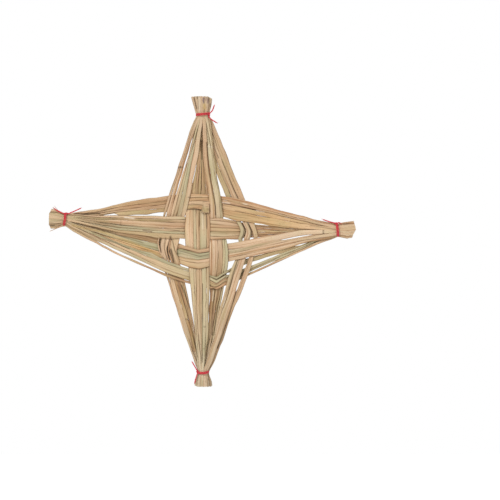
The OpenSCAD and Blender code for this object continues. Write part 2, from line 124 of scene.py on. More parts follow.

# Marks on the face: width in mm, strength, and pixels to the right and down along each.
# Brown and gold ones are stretches of single straws, pale ones torn skin and painted highlights
# on lit folds, olive ones the unripe tip of the tucked end, the stain is plum-coloured dye on the
# upper tuft, and dark ones are painted shade in folds, splits and gaps between straws.
MARK_COLOURS = {"brown": "#a27a50", "gold": "#cfa968", "pale": "#f1e3cf", "olive": "#a3935f",
                "stain": "#604359", "dark": "#4c331d"}
MARK_GROOVE = 0.15 * MM  # a dark mark lies this deep in the straw
FACE_MARKS = {
    "brown": [
        (1.6, 0.9, 188.8, 321, 191, 333, 194, 350),
        (0.7, 0.5, 290, 253.5, 312, 246, 335, 238.5),
        (0.9, 0.6, 201.2, 377, 202, 386)],
    "gold": [
        (1.1, 0.8, 204.7, 105.6, 205.1, 109),
        (0.9, 0.6, 73, 225.3, 101, 231.7, 129.7, 241.7, 157, 253.5)],
    # torn skin, and painted highlights on lit folds
    "pale": [
        (0.45, 0.9, 243, 203.7, 247, 204.6),
        (0.45, 0.9, 222, 202.5, 230, 203.4),
        (0.4, 0.9, 256, 210.5, 264, 212),
        (0.5, 0.7, 224.5, 217, 229, 218.2),
        (0.6, 1, 125, 217.6, 134, 218.6),
        (0.9, 0.35, 202.5, 213, 203, 228),
        (0.6, 0.5, 209, 146.3, 213, 147.3),
        (0.25, 0.7, 213.4, 291, 212.4, 301),
        (0.3, 0.9, 225.9, 297, 223, 307),
        (0.6, 0.35, 199.4, 99, 199.6, 112),
        (0.4, 0.8, 305, 235.8, 312, 234.5)],
    "olive": [
        (1.3, 0.55, 203.4, 208.4, 208.6, 209.4),
        (1, 0.65, 203.2, 210.8, 208.2, 211)],
    "stain": [
        (0.65, 1, 203.9, 98.9, 203.5, 101.2, 203.9, 103.5),
        (0.6, 0.5, 205, 99.6, 205.6, 101),
        (0.6, 0.6, 206.9, 98.6, 206.6, 99.8),
        (0.65, 1, 208.2, 99.9, 207.9, 103.2)],
    # painted shade in folds, splits and gaps between straws
    "dark": [
        (0.4, 1, 75, 213.5, 88, 214.3, 100, 213.3),
        (0.35, 0.6, 100, 222.5, 125, 225.5, 140, 227.5, 165, 229, 180, 231),
        (0.4, 0.6, 92, 226.5, 104, 230.3, 122, 236.5, 135, 240.3, 143, 243),
        (0.4, 0.9, 143, 230.2, 152, 231.7),
        (0.35, 0.7, 92.6, 233, 111, 240.6, 129.7, 249),
        (0.4, 0.7, 50.5, 212.4, 55.5, 213.2),
        (0.35, 0.8, 50, 223.4, 60.5, 223.6),
        (0.4, 0.9, 50.6, 225.4, 55.5, 225.2),
        (0.4, 0.6, 343.3, 224.5, 346, 224.3, 349, 223.4),
        (0.55, 1, 160.6, 238, 159.6, 243, 160.4, 248, 161, 252),
        (0.35, 0.7, 165.7, 237.5, 164.8, 243, 164.4, 248, 165.5, 253, 167.3, 258.5),
        (0.4, 0.8, 170.6, 236, 169.3, 241, 168, 247, 167.9, 254, 169, 259),
        (0.6, 1, 170.4, 237, 171.5, 239.5),
        (0.7, 1, 171, 249.5, 172.3, 255, 173.7, 261.5),
        (0.35, 0.7, 172.3, 240.5, 175, 250.5, 177.3, 255),
        (0.5, 0.9, 206.8, 143, 207.6, 152, 208.2, 163, 209, 172, 210.5, 180, 212.3, 190, 214, 199,
         215.3, 206, 215.6, 215),
        (0.6, 1, 201.5, 141, 201.9, 150, 201.9, 159),
        (0.35, 0.7, 201.9, 159, 201.4, 176, 201.3, 190),
        (0.4, 0.8, 213.6, 143, 215.6, 151, 218.5, 158),
        (0.45, 0.8, 222, 160, 226.3, 170, 230, 180, 234, 190, 238, 198),
        (0.35, 0.55, 220.5, 170, 224.5, 180, 229, 190, 231, 197),
        (0.35, 0.95, 224, 203.6, 230, 204.6, 240, 206.8, 256, 210),
        (0.3, 0.5, 235, 210.5, 255, 215, 270, 218),
        (0.5, 0.9, 241, 221.5, 244.5, 229, 243.5, 235, 241.5, 239),
        (0.5, 0.9, 248, 223, 251.5, 231, 250.5, 237),
        (0.45, 0.9, 237.5, 260.5, 233, 275, 229, 290),
        (0.7, 0.8, 247, 257.5, 246.5, 264),
        (0.7, 0.8, 243.5, 270, 241, 279),
        (0.35, 0.6, 310, 225.5, 323, 227.5, 335, 229.5),
        (0.35, 0.6, 305, 244.5, 325, 240, 335, 237),
        (0.4, 0.9, 209.5, 276.7, 214, 278.7, 216.5, 279.8, 221, 277.3, 226, 274, 231, 270.3),
        (0.3, 0.7, 210, 280.2, 216.5, 284, 224, 278.5, 229, 273),
        (0.3, 0.6, 209.6, 285, 214, 288, 219, 286, 225, 281),
        (0.6, 0.9, 212, 288.6, 215, 289),
        (0.3, 0.8, 179.5, 248.2, 190, 250.5, 199.8, 253.2, 208.6, 252),
        (0.3, 0.7, 179, 250.8, 190, 253.6, 199.8, 256.5, 208.6, 254.6),
        (0.3, 0.5, 188.5, 204.5, 193, 203.8, 203, 205.5),
        (0.3, 0.6, 188, 197.4, 202, 197.4),
        (0.4, 0.7, 187.5, 209.6, 193.5, 208.3, 201.5, 210.3),
        (0.4, 0.9, 209.4, 204, 209.5, 212),
        (0.25, 0.55, 203.2, 201.7, 209.8, 201.4),
        (0.25, 0.4, 205.5, 204.2, 209.8, 203.8),
        (0.25, 0.35, 205.8, 206.5, 209.8, 206.2),
        (0.3, 0.45, 204, 204, 203.6, 208.5, 202.8, 210.5),
        (0.7, 0.45, 208, 209.3, 210, 211.3),
        (0.3, 0.6, 202.6, 211.8, 205, 213, 208.5, 213),
        (0.5, 1, 179.2, 167.2, 182.3, 167.3),
        (0.25, 0.5, 179.6, 168.5, 174.5, 181, 170.3, 192),
        (0.3, 0.7, 199.5, 213, 199.5, 226),
        (0.4, 0.7, 206.5, 214, 206.8, 228),
        (0.4, 0.9, 194.3, 98, 195.7, 103.6, 196.8, 109),
        (0.5, 0.9, 197.4, 96.5, 197.7, 99.5),
        (0.3, 0.5, 198.3, 100, 198.5, 110),
        (0.4, 0.7, 208.8, 96.6, 208.6, 101),
        (0.35, 0.7, 204.5, 110, 204.6, 113),
        (0.4, 0.7, 210.3, 104, 210.3, 107),
        (0.35, 0.8, 202.6, 284, 202.8, 320, 202.5, 362),
        (0.3, 0.6, 177.8, 285, 183, 300, 188.5, 316),
        (0.45, 0.95, 181.5, 285, 187, 300, 192.5, 314),
        (0.3, 0.6, 230.1, 286, 227.3, 297, 223.4, 308.3),
        (0.5, 0.95, 236.3, 291, 233, 302.6, 228, 318.3, 223.4, 332.6, 217.5, 348),
        (0.6, 0.6, 221.9, 288, 217, 308, 212.5, 327),
        (0.45, 0.6, 192.5, 331, 195, 344, 197.5, 357),
        (0.3, 0.6, 208, 378, 208.3, 386),
        (0.35, 0.7, 214.8, 291, 213.5, 310, 211.5, 335),
        (0.3, 0.6, 217.3, 291, 215.5, 310, 212.8, 335),
        (0.35, 0.7, 220.2, 291, 217.5, 310, 214, 335)]}

# Kinks and bulges of single straws, along their lower edge (the left or upper one) and their
# higher edge (the right or lower one): a pixel along the straw, and how many pixels the edge
# moves there from the solid's. Named rows are seams that neighbours share.
HB_SEAMS = (
    (203, 0, 209.5, -3.3, 216.5, -0.3, 221, -1.8, 226, -2.6, 232, 0),
    (203, 0, 210, -3, 216.5, 0, 224, -3.3, 229, -2, 233, 0),
    (203, 0, 209.5, -1, 215, 0, 225, -2.6, 233, 0))
NECK_LOW = (126, 0, 132, -0.5, 162, -0.5, 168, 0)
NECK_HIGH = (126, 0, 132, 0.5, 162, 0.5, 168, 0)
HL_SEAM = (176, 0, 181, -3, 190, -3.3, 200, -2.8, 209, -2.4, 214, 0)
EDGE_MOVES = {
    "left_upright_straw_1": (
        (234, 0, 242, -1.4, 247, -0.4, 252, 0.6, 257, 2.6, 266, 0),
        (234, 0, 242, -1.7, 247, -0.2, 256, 1.8, 264, 0, 280, 0, 288, 0.4, 340, 0.3, 350, 0)),
    "left_upright_straw_2": (
        (238, 0, 247, -1.2, 253, -0.2, 257.5, 1.6, 265, 0, 280, 0, 288, -0.4, 340, -0.3, 350, 0),
        (232, 0, 237, 1.7, 242, 0.6, 247, -0.8, 252, -0.6, 258, 0.4, 264, 0)),
    "left_upright_straw_3": (
        (233, 0, 237.5, 0.6, 248, -1, 253.5, -0.6, 259, 0.5, 264, 0),
        (233, 0, 238, 1.8, 243, 0.5, 247.5, -1.2, 253, -1.2, 258, -0.9, 264, 0)),
    "left_upright_straw_4": (
        (234, 0, 240, 0.6, 247, -0.3, 253, -0.5, 259, 0.5, 264, 0),
        (234, 0, 240, -0.8, 247, -1.5, 252, -2.2, 258, -1, 264, 0)),
    "left_upright_straw_5": (
        (232, 0, 240, -1, 248.5, -1.6, 255, -1.2, 261, -0.4, 266, 0),
        (230, 0, 240, -3.4, 250, -1.5, 255, 0.5, 262, 2, 268, 0)),
    "left_upright_straw_6": (
        (230, 0, 240, -3.9, 250, -1.6, 255, 0, 262, 1, 268, 0),
        (161, 0, 166, -0.3, 181, -0.3, 186, 0, 233, 0, 243, -0.9, 250, -2.6, 255.5, -2, 262, -1,
         268, 0)),
    "mid_left_upright_straw_1": (
        (136, 0, 142, -1.1, 161, -1.1, 165.5, 0.1, 182, 0.1, 187, -0.9, 197, -0.9, 202, 0,
         208, -1.6, 213, -1.2, 219, 0),
        NECK_HIGH),
    "mid_left_upright_straw_2": (NECK_LOW, NECK_HIGH),
    "mid_left_upright_straw_3": (NECK_LOW, NECK_HIGH),
    "mid_left_upright_straw_4": (NECK_LOW, ()),
    "mid_left_upright_straw_5": ((), (196, 0, 203, 0.4, 288, 0.4, 292, 0)),
    "mid_right_upright_straw_1": (
        (196, 0, 203, -0.5, 209, -1, 217, -1, 222, -0.5, 288, -0.5, 294, 0, 302, 0.05, 321, 0,
         328, -0.7, 345, -0.7, 352, 0),
        ()),
    "mid_right_upright_straw_4": (
        (),
        (154, 0, 159, 0.6, 168, 0.6, 173, -0.2, 186, -0.3, 196, 0, 256, 0, 264, 0.9, 272, 1,
         280, 0)),
    "right_upright_straw_1": (
        (216, 0, 220, -1.8, 226, 0, 231, 0.7, 235, -0.2, 239, -1.6, 244, 0),
        (216, 0, 221, -2.2, 228, 0, 232, 0.5, 236, -0.6, 239.5, -1.8, 244, 0)),
    "right_upright_straw_2": (
        (219, 0, 223, -0.3, 230, 1.7, 235, 0.6, 239, -0.8, 244, 0),
        (218, 0, 223, -1.3, 230, 0.2, 234, 1.2, 239, -0.3, 243, 0, 288, 0, 293, 0.8, 322, 0.6,
         330, 0)),
    "right_upright_straw_3": (
        (217, 0, 222, -1.3, 230, 0.7, 237, 2, 243, 0, 288, 0, 293, -0.9, 322, -0.6, 330, 0),
        (219, 0, 225, -0.8, 231, 0, 237, 1, 243, 0)),
    "top_crosspiece_straw_1": (
        (117, 0, 126, -0.5, 132, -0.8, 148, -0.8, 156, 0, 288, 0, 296, -0.4, 302, -0.7, 308, -0.4,
         314, 0),
        ()),
    "top_crosspiece_straw_4": (
        (),
        (100, 0, 105, -0.9, 114, -0.9, 119, 1.6, 147, 1.8, 153, 0.6, 158, 0, 224, 0, 230, 0.8,
         237, 1.5, 244, 0.5, 250, 0, 262, 0, 270, 0.8, 284, 0.8, 290, 0)),
    "upper_mid_crosspiece_straw_1": ((212, 0, 220, -1.2, 233, -1, 238, 0), ()),
    "upper_mid_crosspiece_straw_6": (
        (),
        (148, 0, 154, 0.9, 172, 0.9, 178, 0, 226, 0, 232, 0.6, 238, 1.2, 243, 0)),
    "lower_mid_crosspiece_straw_1": ((190, 0, 199.5, 0.6, 209, 0), HL_SEAM),
    "lower_mid_crosspiece_straw_2": (
        HL_SEAM + (244, 0, 250, -0.7, 258, -1.5, 264, -1.2, 279, -1.1, 284, 0),
        ()),
    "lower_mid_crosspiece_straw_4": (
        (),
        (268, 0, 273, 0.5, 290, 0.4, 298, -0.5, 310, -0.7, 315, 0)),
    "bottom_crosspiece_straw_1": (
        (138, 0, 146, -1.5, 152, -2.5, 160, -1, 168, 0, 203, 0, 209, -1.8, 214, -0.9, 216.5, 0,
         220.5, -1.5, 226, -1.1, 231, 0, 293, 0, 299, 0.5, 310, 0.7, 315, 0),
        HB_SEAMS[0] + (274, 0, 281, 0.8, 290, 0.6, 297, 0)),
    "bottom_crosspiece_straw_2": (
        HB_SEAMS[0] + (274, 0, 281, -0.8, 290, -0.5, 297, 0),
        HB_SEAMS[1]),
    "bottom_crosspiece_straw_3": (
        HB_SEAMS[1],
        (82, 0, 88, 0.9, 97, 0.8, 103, 0) + HB_SEAMS[2] + (246, 0, 254, -0.6, 268, -0.5, 276, 0)),
    "bottom_crosspiece_straw_4": (
        HB_SEAMS[2] + (246, 0, 254, 0.7, 268, 0.6, 276, 0),
        (203, 0, 209.5, -0.8, 214, 0, 217, 0.2, 225, -1.2, 232, 0))}
# The outline of each bundle near its tie: a pixel along the arm, and its two edges in pixels
BUNDLE_OUTLINES = {
    "upper": (98.5, 191.6, 211.8, 103.5, 193, 211.4, 107.5, 194.1, 210.8, 111.5, 195.3, 209.8,
        115, 196.7, 209.2, 117.5, 195.9, 210.1, 121.5, 193.8, 212.5, 126.5, 191.7, 214.8,
        132.5, 189.3, 217.5, 140.5, 186.7, 221.2, 146.5, 184.8, 223.3, 152.5, 182.8, 226.2,
        158.5, 180.8, 228.5, 164.5, 178.8, 230.4, 170.5, 176.9, 232.8, 176.5, 174.9, 235.1,
        182.5, 172.9, 237.7, 188.5, 170.9, 240.2),
    "lower": (298.5, 173, 238.4, 304.5, 175, 235.8, 310.5, 176.9, 233.4, 316.5, 178.7, 231.1,
        322.5, 180.4, 229, 328.5, 182.4, 227.1, 334.5, 184.4, 225.2, 340.5, 186.5, 223.1,
        346.5, 188.9, 220.2, 350.5, 190.3, 218.8, 354.5, 191.8, 217.3, 358.5, 193.2, 215.8,
        361.5, 194.2, 214.4, 364.5, 195.3, 212.8, 368.5, 197.1, 210.4, 372.4, 198.3, 208.7,
        375.5, 197.5, 209.4, 379.5, 195.8, 210.9, 382.5, 195.1, 211.7, 385.5, 194.9, 211.9),
    "left": (50.5, 209.3, 228.5, 53.5, 209.5, 228.5, 57.5, 210.5, 228.1, 61.5, 212.1, 226.7,
        65.8, 213.9, 226.1, 68.5, 213.9, 228, 73.5, 212.7, 231.7, 79.5, 211.5, 235,
        86.5, 210.5, 238.8, 96.5, 209.1, 243.7, 102.5, 207.7, 247.4, 108.5, 206.3, 250.2,
        114.5, 204.8, 253.3),
    "right": (300.5, 214.9, 252.2, 306.5, 216.7, 249.5, 312.5, 218.7, 246.8, 316.5, 219.8, 244.9,
        320.5, 220.8, 243.3, 324.5, 221.6, 241.8, 330.5, 222.7, 239.8, 334.5, 223.5, 238.1,
        338, 223.9, 236.5, 340.5, 223, 237.1, 344.5, 222.3, 237.9, 348.5, 222, 238.5,
        352.5, 221.5, 237.9)}
OUTLINE_INSET = 0.35 * PIXEL  # neighbours press outwards by about this
OUTLINE_FADE = 6 * MM  # a bundle's straws turn to its outline over this length
# The cut across each tuft: a pixel across it, and the pixel along it where its straws end
TUFT_CUTS = {
    "upper": (191, 96.8, 208.5, 97, 209.8, 97.7, 212, 98.9),
    "lower": (195, 385.5, 197, 386.3, 211, 386.4, 212, 385.9),
    "left": (209, 51.6, 211, 50.9, 213.3, 49.9, 224.5, 49.6, 228.7, 50.7),
    "right": (221, 353.8, 225.6, 354.7, 229.3, 355.6, 231.4, 354.7, 234, 353.2, 237.7, 352.1)}
CUT_REACH = 9 * MM  # a tuft's straws are drawn out or in to its cut over this length
TUFT_OPENING = (2 * MM, 9 * MM)  # straws open between these distances past their tie
TUFT_SWELL = 0.55  # by this share of their thickness
TUFT_PRESS = 0.11  # and a tuft's layers lie closer by this share, to stay as deep

# Straws: how finely their solids are read
STATION_STEP = 0.8 * MM  # between rings along a straw
POINT_SPACING = 0.28 * MM  # between points across it
POINTS_ACROSS = (9, 21)  # the fewest and the most of them
EDGE_CROWDING = 0.55  # how far they crowd towards its edges
SLICE_INSET = 0.02 * MM  # the end slices lie this far inside the solid
SLICE_REACH = 0.94  # depth is read out to this share of the half width
# Straws: their lines
EDGE_BLUR = 0.8 * MM  # rounds the corners of an edge seen from the front
BEND_BLUR = 0.9 * MM  # rounds the bend from front to back
BOW_BLUR = 4.5 * MM  # the wider swell of a ribbon over a crossing
BOW_SHARE = 1.15  # how far a bow swells, as a share of the weave's own depth
FIELD_HALF = 37 * MM  # the weave reaches this far from its centre
FIELD_FADE = 12 * MM
SEAM_OVERLAP = 0.1 * MM  # neighbours press into each other by this much
BUNDLE_OVERLAP = 0.4 * MM  # and by this much inside a bundle
BUNDLE_REACH = 24 * MM  # how far from its tie a bundle's straws still press together
BUNDLE_FIRM = 3 * MM  # and where they are pressed in full
EDGE_WANDER = 0.09 * MM
EDGE_WAVE = 16 * MM
ROLL = math.radians(7)  # how far a straw rolls about its own line
ROLL_WAVE = 70 * MM
WEAVE_GRIP = 0.75  # the weave holds back this share of the roll
# Straws: their sections. A narrow one stays round, a wide one is pressed flat with round edges.
HALF_WIDTHS = (0.7 * MM, 2.8 * MM)
FLATNESS = (2.6, 4.6)  # the power of the section at these half widths
BUNDLE_FLATNESS = 2  # added to it inside a bundle
CROWN = 0.3  # the section's middle is this share thicker
BUNDLE_CROWN = 0.7  # a bundle presses this share of the crown away
BUNDLE_CALM = 0.6  # and of creases and the painted shade of seams
# Straws: creases, the painted shade along their seams, and cut ends
CREASE_WIDTH = 0.3 * MM
CREASE_DEPTH = 0.24 * MM
CREASE_SPACING = 1.7 * MM
CREASE_SPREAD = 0.75  # creases lie within this share of the half width
CREASE_SWAY = 0.16  # and sway by this share of it
CREASE_WAVE = 60 * MM
CREASE_SHARES = (0.4, 1)  # each has its own share of the depth
CREASE_EASE = 0.4  # which swings by this share
CREASE_FADE = 30 * MM  # in about this length
SEAM_WIDTH = 0.4 * MM  # of the painted shade along a straw's edge, where it meets its neighbours
SEAM_SHADES = (0.25, 0.85)  # how dark it is on the whole
SEAM_SWING = 0.35  # how far its shade swings along it
SEAM_LEAST = 0.1
SEAM_TIDE = 22 * MM  # and in about what length
RAGGED_CUT = 0.25 * MM  # a cut is uneven by about this
RAGGED_SHARES = (0.4, 0.5)  # its mean and spread, as shares of that
RAGGED_MOST = 1.5
MOUTH_RIM = np.array([1, 0.86, 0.6])  # a cut end's hollow, as shares of the straw
HOLLOW_DEPTH = 1.3 * MM  # how deep a cut end is hollow
GRAIN_SPREAD = 90  # straws take their grain from places within this in the pattern
BACK_GRAIN = 11  # and their backs from this much further on

# The tucked end
TUCK_POINTS = 19  # across it
TUCK_RINGS = 26
TUCK_DEPTH = 1.1 * MM  # its upper end goes this far behind the top crosspiece's face
TUCK_REACH = 4 * MM
TUCK_SHIFT = 0.2 * MM  # it lies this much right of its solid
TUCK_WIDEN = 0.1 * MM  # and is wider by about this much on each side
TUCK_POWER = 3  # of its section
TUCK_SEAM_SHADES = (0.25, 0.7)  # how dark the painted shade along its left and right edges is
TIP_REACH = (5 * MM, 1 * MM)  # its torn tip opens between these distances from its end
TIP_FLARE = 0.6 * MM  # by this much to each side
TIP_LEAN = 0.5 * MM  # and leans left by this much
TIP_STAIN = 1.2 * MM  # the tip is weathered over this length
TORN = (0.5, 0.3)  # spread of the torn edges in mm, below and above
TORN_MOST = (1, 0.6)
TIP_HANG = 0.3  # mm by which the tip hangs down in its middle
RIDGES = 7  # on its face, within this share of its half width
RIDGE_SPREAD = 0.85
RIDGE_SWAY = 0.1
RIDGE_WAVE = 9 * MM
RIDGE_DEPTH = 0.2 * MM
RIDGE_WIDTH = 0.22 * MM

# Bundles, in mm: where each is tied, its radius, the side of its knot, how far the thread's
# right end rises or its upper end leans right, and how far the thread sags at the front
TIES = {
    "upper": dict(at=(0, 2.5), radius=4.3, knot=1, tilt=0.5, sag=0.37),
    "lower": dict(at=(0, -189.0), radius=3.75, knot=-1, tilt=0, sag=0.67),
    "left": dict(at=(-102.7, -75.6), radius=4.0, knot=1, tilt=1.5, sag=0.6),
    "right": dict(at=(99.9, -83.3), radius=4.4, knot=1, tilt=-1.2, sag=-0.1)}
ROUND_REACH = 14 * MM  # how far from its tie a bundle starts to turn round
ROUND_FIRM = 2 * MM
# The solids' bundle is stepped: its depth at two places across it, as shares of its radius
STEP_PLACES = (0.66, 0.95)
STEP_DEPTHS = (0.88, 0.5)
# The round one that it is pressed into: its depth and width, and its least depth squared
ROUND_DEPTH = 0.88
ROUND_WIDTH = 1.04
ROUND_FLOOR = 0.12

# Thread: two plies twisted together, drawn with this many sides
PLY_RADIUS = 0.32 * MM
PLY_OFFSET = 0.17 * MM
PLY_LAY = 2.6 * MM
PLY_SIDES = 8
THREAD_STEP = 0.3 * MM
TURNS = 2
TURN_PITCH = 0.95 * MM
TURN_REACH = 1.035  # the turns lie this far out, as a share of the bundle's radius,
TURN_PLIES = 1.5  # and this many plies' radii further
KNOT_TURN = math.radians(24)
KNOT_SIZE = 0.27 * MM
KNOT_SCALE = 0.75  # its thread is this share as thick
KNOT_FRONT = 0.5 * MM  # it sits this far in front of the turns
FRAYED_FIBRES = 7  # at the tip of each tail
FIBRE_ROOT = 0.3 * MM  # they start this far inside it
FIBRE_LENGTHS = (0.5 * MM, 1.1 * MM)
FIBRE_LEAN = 0.35  # and lean apart by about this slope
FIBRE_RADII = (0.1 * MM, 0.03 * MM)
FIBRE_SIDES = 5
# The tails of each binding from its knot to their tips: right, up and towards the front
TAILS = {
    "upper": (((4.9, 3.2, 2.2), (6.8, 5.0, 2.4), (7.8, 7.0, 2.8), (8.6, 9.2, 3.0)),
              ((4.3, 1.0, 2.4), (5.2, -0.2, 2.6), (7.0, -1.7, 2.9), (8.7, -2.8, 3.1),
               (10.2, -3.8, 3.0))),
    "lower": (((-4.0, -190.2, 2.2), (-4.8, -192.8, 2.9), (-5.6, -195.4, 3.2), (-6.0, -197.4, 3.2)),
              ((-4.1, -188.4, 2.2), (-5.4, -186.1, 2.5), (-6.6, -184.0, 2.8), (-7.9, -181.8, 3.0))),
    "left": (((-104.6, -70.9, 2.4), (-106.6, -69.9, 2.9), (-108.7, -68.9, 3.1),
              (-110.6, -67.5, 3.0)),
             ((-99.8, -71.3, 2.4), (-97.6, -70.4, 2.7), (-94.2, -69.0, 3.0), (-90.8, -67.4, 2.9))),
    "right": (((101.2, -78.1, 2.2), (102.3, -78.5, 2.8)),
              ((97.6, -78.3, 2.3), (94.6, -77.5, 2.4), (92.4, -76.8, 2.2), (89.8, -75.9, 2.0)))}

# Loose slivers of straw: points to the right, up and towards the front, and half their width
SLIVERS = {
    "left_tuft_sliver_1": (((-104.5, -72.2, 1.5), (-108, -68.8, 2), (-110.4, -65.6, 2.4)), 0.26),
    "left_tuft_sliver_2": (((-105.5, -72.6, 2.5), (-109, -69.4, 3.2), (-111.6, -66.8, 3.4)), 0.26),
    "left_tuft_sliver_3": (((-104, -79.8, 2), (-109, -82.4, 2.6), (-113.8, -84.5, 2.8)), 0.38),
    "right_tuft_sliver_1": (((103, -78.6, 2.5), (108, -77.6, 3.4), (112.4, -77, 3.8)), 0.3)}
SLIVER_TAPER = 0.5
SLIVER_SIDES = 7
SLIVER_STEP = 0.6  # mm between its rings

CURVE_STEPS = 12  # between two points of a curve, before it is stepped evenly
ROUND_ALL_OVER = 180  # degrees: no edge of a tube is sharp


def linear(hex_colour):
    """The linear colour of an sRGB hex value."""
    shares = [int(hex_colour[i:i + 2], 16) / 255 for i in (1, 3, 5)]
    return tuple(c / 12.92 if c <= 0.04045 else ((c + 0.055) / 1.055) ** 2.4
                 for c in shares) + (1.0,)


def add(tree, kind, links=(), **settings):
    """Adds a node with its settings, and links or sets its inputs."""
    node = tree.nodes.new(kind)
    for name, value in settings.items():
        setattr(node, name, value)
    for socket, value in dict(links).items():
        if isinstance(value, bpy.types.NodeSocket):
            tree.links.new(value, node.inputs[socket])
        else:
            node.inputs[socket].default_value = value
    return node


def new_material(name):
    """A material without nodes, and its empty tree."""
    material = bpy.data.materials.new(name)
    material.use_nodes = True
    material.node_tree.nodes.clear()
    return material, material.node_tree


def tinted(tree, colour, tint, pattern, none=0.0, full=1.0, share=1.0, mode="MIX"):
    """Tints a colour by a pattern: not at all at one of its levels, by the share at another."""
    amount = add(tree, "ShaderNodeMapRange", {0: pattern, 1: none, 2: full, 4: share}).outputs[0]
    return add(tree, "ShaderNodeMix", {0: amount, 6: colour, 7: linear(tint)}, data_type="RGBA",
               blend_type=mode).outputs[2]


def patches(tree, place, size, detail=2.0):
    """Noise whose patches are size across, size along and differ from straw to straw."""
    scaled = add(tree, "ShaderNodeVectorMath", {0: place, 1: (1 / size[0], 1 / size[1], 1.0)},
                 operation="MULTIPLY").outputs[0]
    return add(tree, "ShaderNodeTexNoise",
               {"Vector": scaled, "Scale": 1.0, "Detail": detail}).outputs[0]


def dried_straw(name, fibre_dark, fibre_light, roughness):
    """Dried, flattened wheat straw: a smooth waxy skin over straight fibres, so the eye gets fine
    lengthwise streaks, slow drifts of colour, painted shade along the seams and in the hollows of
    cut ends, and a faint silky sheen."""
    material, tree = new_material(name)
    tone, place, edge, cut = [add(tree, "ShaderNodeAttribute", attribute_name="straw_" + kept)
                              for kept in ("tone", "place", "edge", "cut")]
    place = place.outputs["Vector"]
    # Real fibres are 0.1 mm wide, too fine to show: bundles of them are drawn 0.45 mm wide
    fibres = patches(tree, place, (0.45, 28.0))
    ribs = patches(tree, place, (1.3, 60.0), 1.0)
    drift = patches(tree, place, (5.0, 22.0))
    flecks = patches(tree, place, (0.5, 1.6), 0.0)
    colour = tone.outputs["Color"]
    for tint, pattern, none, full, share, mode in (
            (fibre_dark, fibres, 0.42, 0.25, 0.7, "MULTIPLY"),
            (fibre_light, fibres, 0.55, 0.75, 0.45, "MIX"),
            (fibre_dark, ribs, 0.48, 0.3, 0.65, "MULTIPLY"),
            ("#b5ab7c", drift, 0.5, 0.72, 0.35, "MIX"),
            ("#dcb390", drift, 0.46, 0.26, 0.35, "MIX"),
            ("#8a6a48", flecks, 0.74, 0.8, 0.5, "MIX"),
            # The last two are painted shade: brown along the seams between straws and inside the
            # hollow cut ends
            (SEAM_SHADE_BROWN, edge.outputs["Fac"], 0.0, 1.0, 1.0, "MULTIPLY"),
            (MOUTH_SHADE_BROWN, cut.outputs["Fac"], 0.0, 1.0, 1.0, "MIX")):
        colour = tinted(tree, colour, tint, pattern, none, full, share, mode)
    height = add(tree, "ShaderNodeMath", {0: fibres, 1: ribs}, operation="ADD").outputs[0]
    bump = add(tree, "ShaderNodeBump",
               {"Strength": 0.5, "Distance": 0.12 * MM, "Height": height}).outputs[0]
    rough = add(tree, "ShaderNodeMapRange", {
        0: fibres, 1: 0.3, 2: 0.7, 3: roughness + 0.1, 4: roughness - 0.06}).outputs[0]
    skin = add(tree, "ShaderNodeBsdfPrincipled", {
        "Base Color": colour, "Roughness": rough, "IOR": 1.5, "Specular IOR Level": 0.2,
        "Sheen Weight": 0.03, "Sheen Roughness": 0.4, "Coat Weight": 0.03, "Coat Roughness": 0.35,
        "Normal": bump}).outputs[0]
    add(tree, "ShaderNodeOutputMaterial", {"Surface": skin})
    return material


def dyed_cotton():
    """Dyed cotton sewing thread, spun and twisted from two plies: matte, with a soft fuzz of
    lighter red, and painted shade of darker red where the plies turn under each other."""
    material, tree = new_material("dyed_cotton_thread")
    place = add(tree, "ShaderNodeTexCoord").outputs["Object"]
    # Cotton fibres are 0.02 mm: their clumps are drawn 0.35 mm wide
    fuzz, dye = [add(tree, "ShaderNodeTexNoise", {
        "Vector": place, "Scale": 1 / size, "Detail": detail}).outputs[0]
        for size, detail in ((0.35 * MM, 3.0), (2.5 * MM, 1.0))]
    ply_shade = add(tree, "ShaderNodeAttribute", attribute_name="ply_groove_shade").outputs["Fac"]
    colour = tinted(tree, linear("#c62a36"), "#d9434c", fuzz, 0.35, 0.7)
    colour = tinted(tree, colour, "#d23343", dye, 0.4, 0.7, 0.5)
    # Painted shade: darker red where one ply turns under the other
    colour = tinted(tree, colour, "#a31c2c", ply_shade, share=0.3)
    bump = add(tree, "ShaderNodeBump",
               {"Strength": 0.5, "Distance": 0.06 * MM, "Height": fuzz}).outputs[0]
    skin = add(tree, "ShaderNodeBsdfPrincipled", {
        "Base Color": colour, "Roughness": 0.8, "Specular IOR Level": 0.25, "Sheen Weight": 0.25,
        "Sheen Roughness": 0.5, "Normal": bump}).outputs[0]
    add(tree, "ShaderNodeOutputMaterial", {"Surface": skin})
    return material


SLOTS = {part["node"]: part["material_slot"] for part in frame["record"]["subparts"]}
STRAW_SKINS = {
    "straw_pale": dried_straw("pale_ripe_straw", "#c9a988", "#efd9b6", 0.5),
    "straw_green": dried_straw("unripe_green_straw", "#b3ab8c", "#dcd5ac", 0.52),
    "straw_golden": dried_straw("golden_ripe_straw", "#c99f70", "#f0d19a", 0.48),
    "straw_brown": dried_straw("weathered_brown_straw", "#a98865", "#d9b88c", 0.58)}
THREAD_SKIN = dyed_cotton()


def smoothstep(value, low, high):
    """Rises softly from 0 to 1 between two values."""
    t = np.clip((value - low) / (high - low), 0, 1)
    return t * t * (3 - 2 * t)


def blurred(values, step, width):
    """Gaussian blur along the first axis that keeps straight runs straight up to both ends."""
    reach = int(3 * width / step) + 1
    weights = np.exp(-0.5 * (np.arange(-reach, reach + 1) * step / width) ** 2)
    weights /= weights.sum()
    pads = [(reach, reach)] + [(0, 0)] * (values.ndim - 1)
    padded = np.pad(values, pads, mode="reflect", reflect_type="odd")
    return np.apply_along_axis(lambda line: np.convolve(line, weights, mode="valid"), 0, padded)


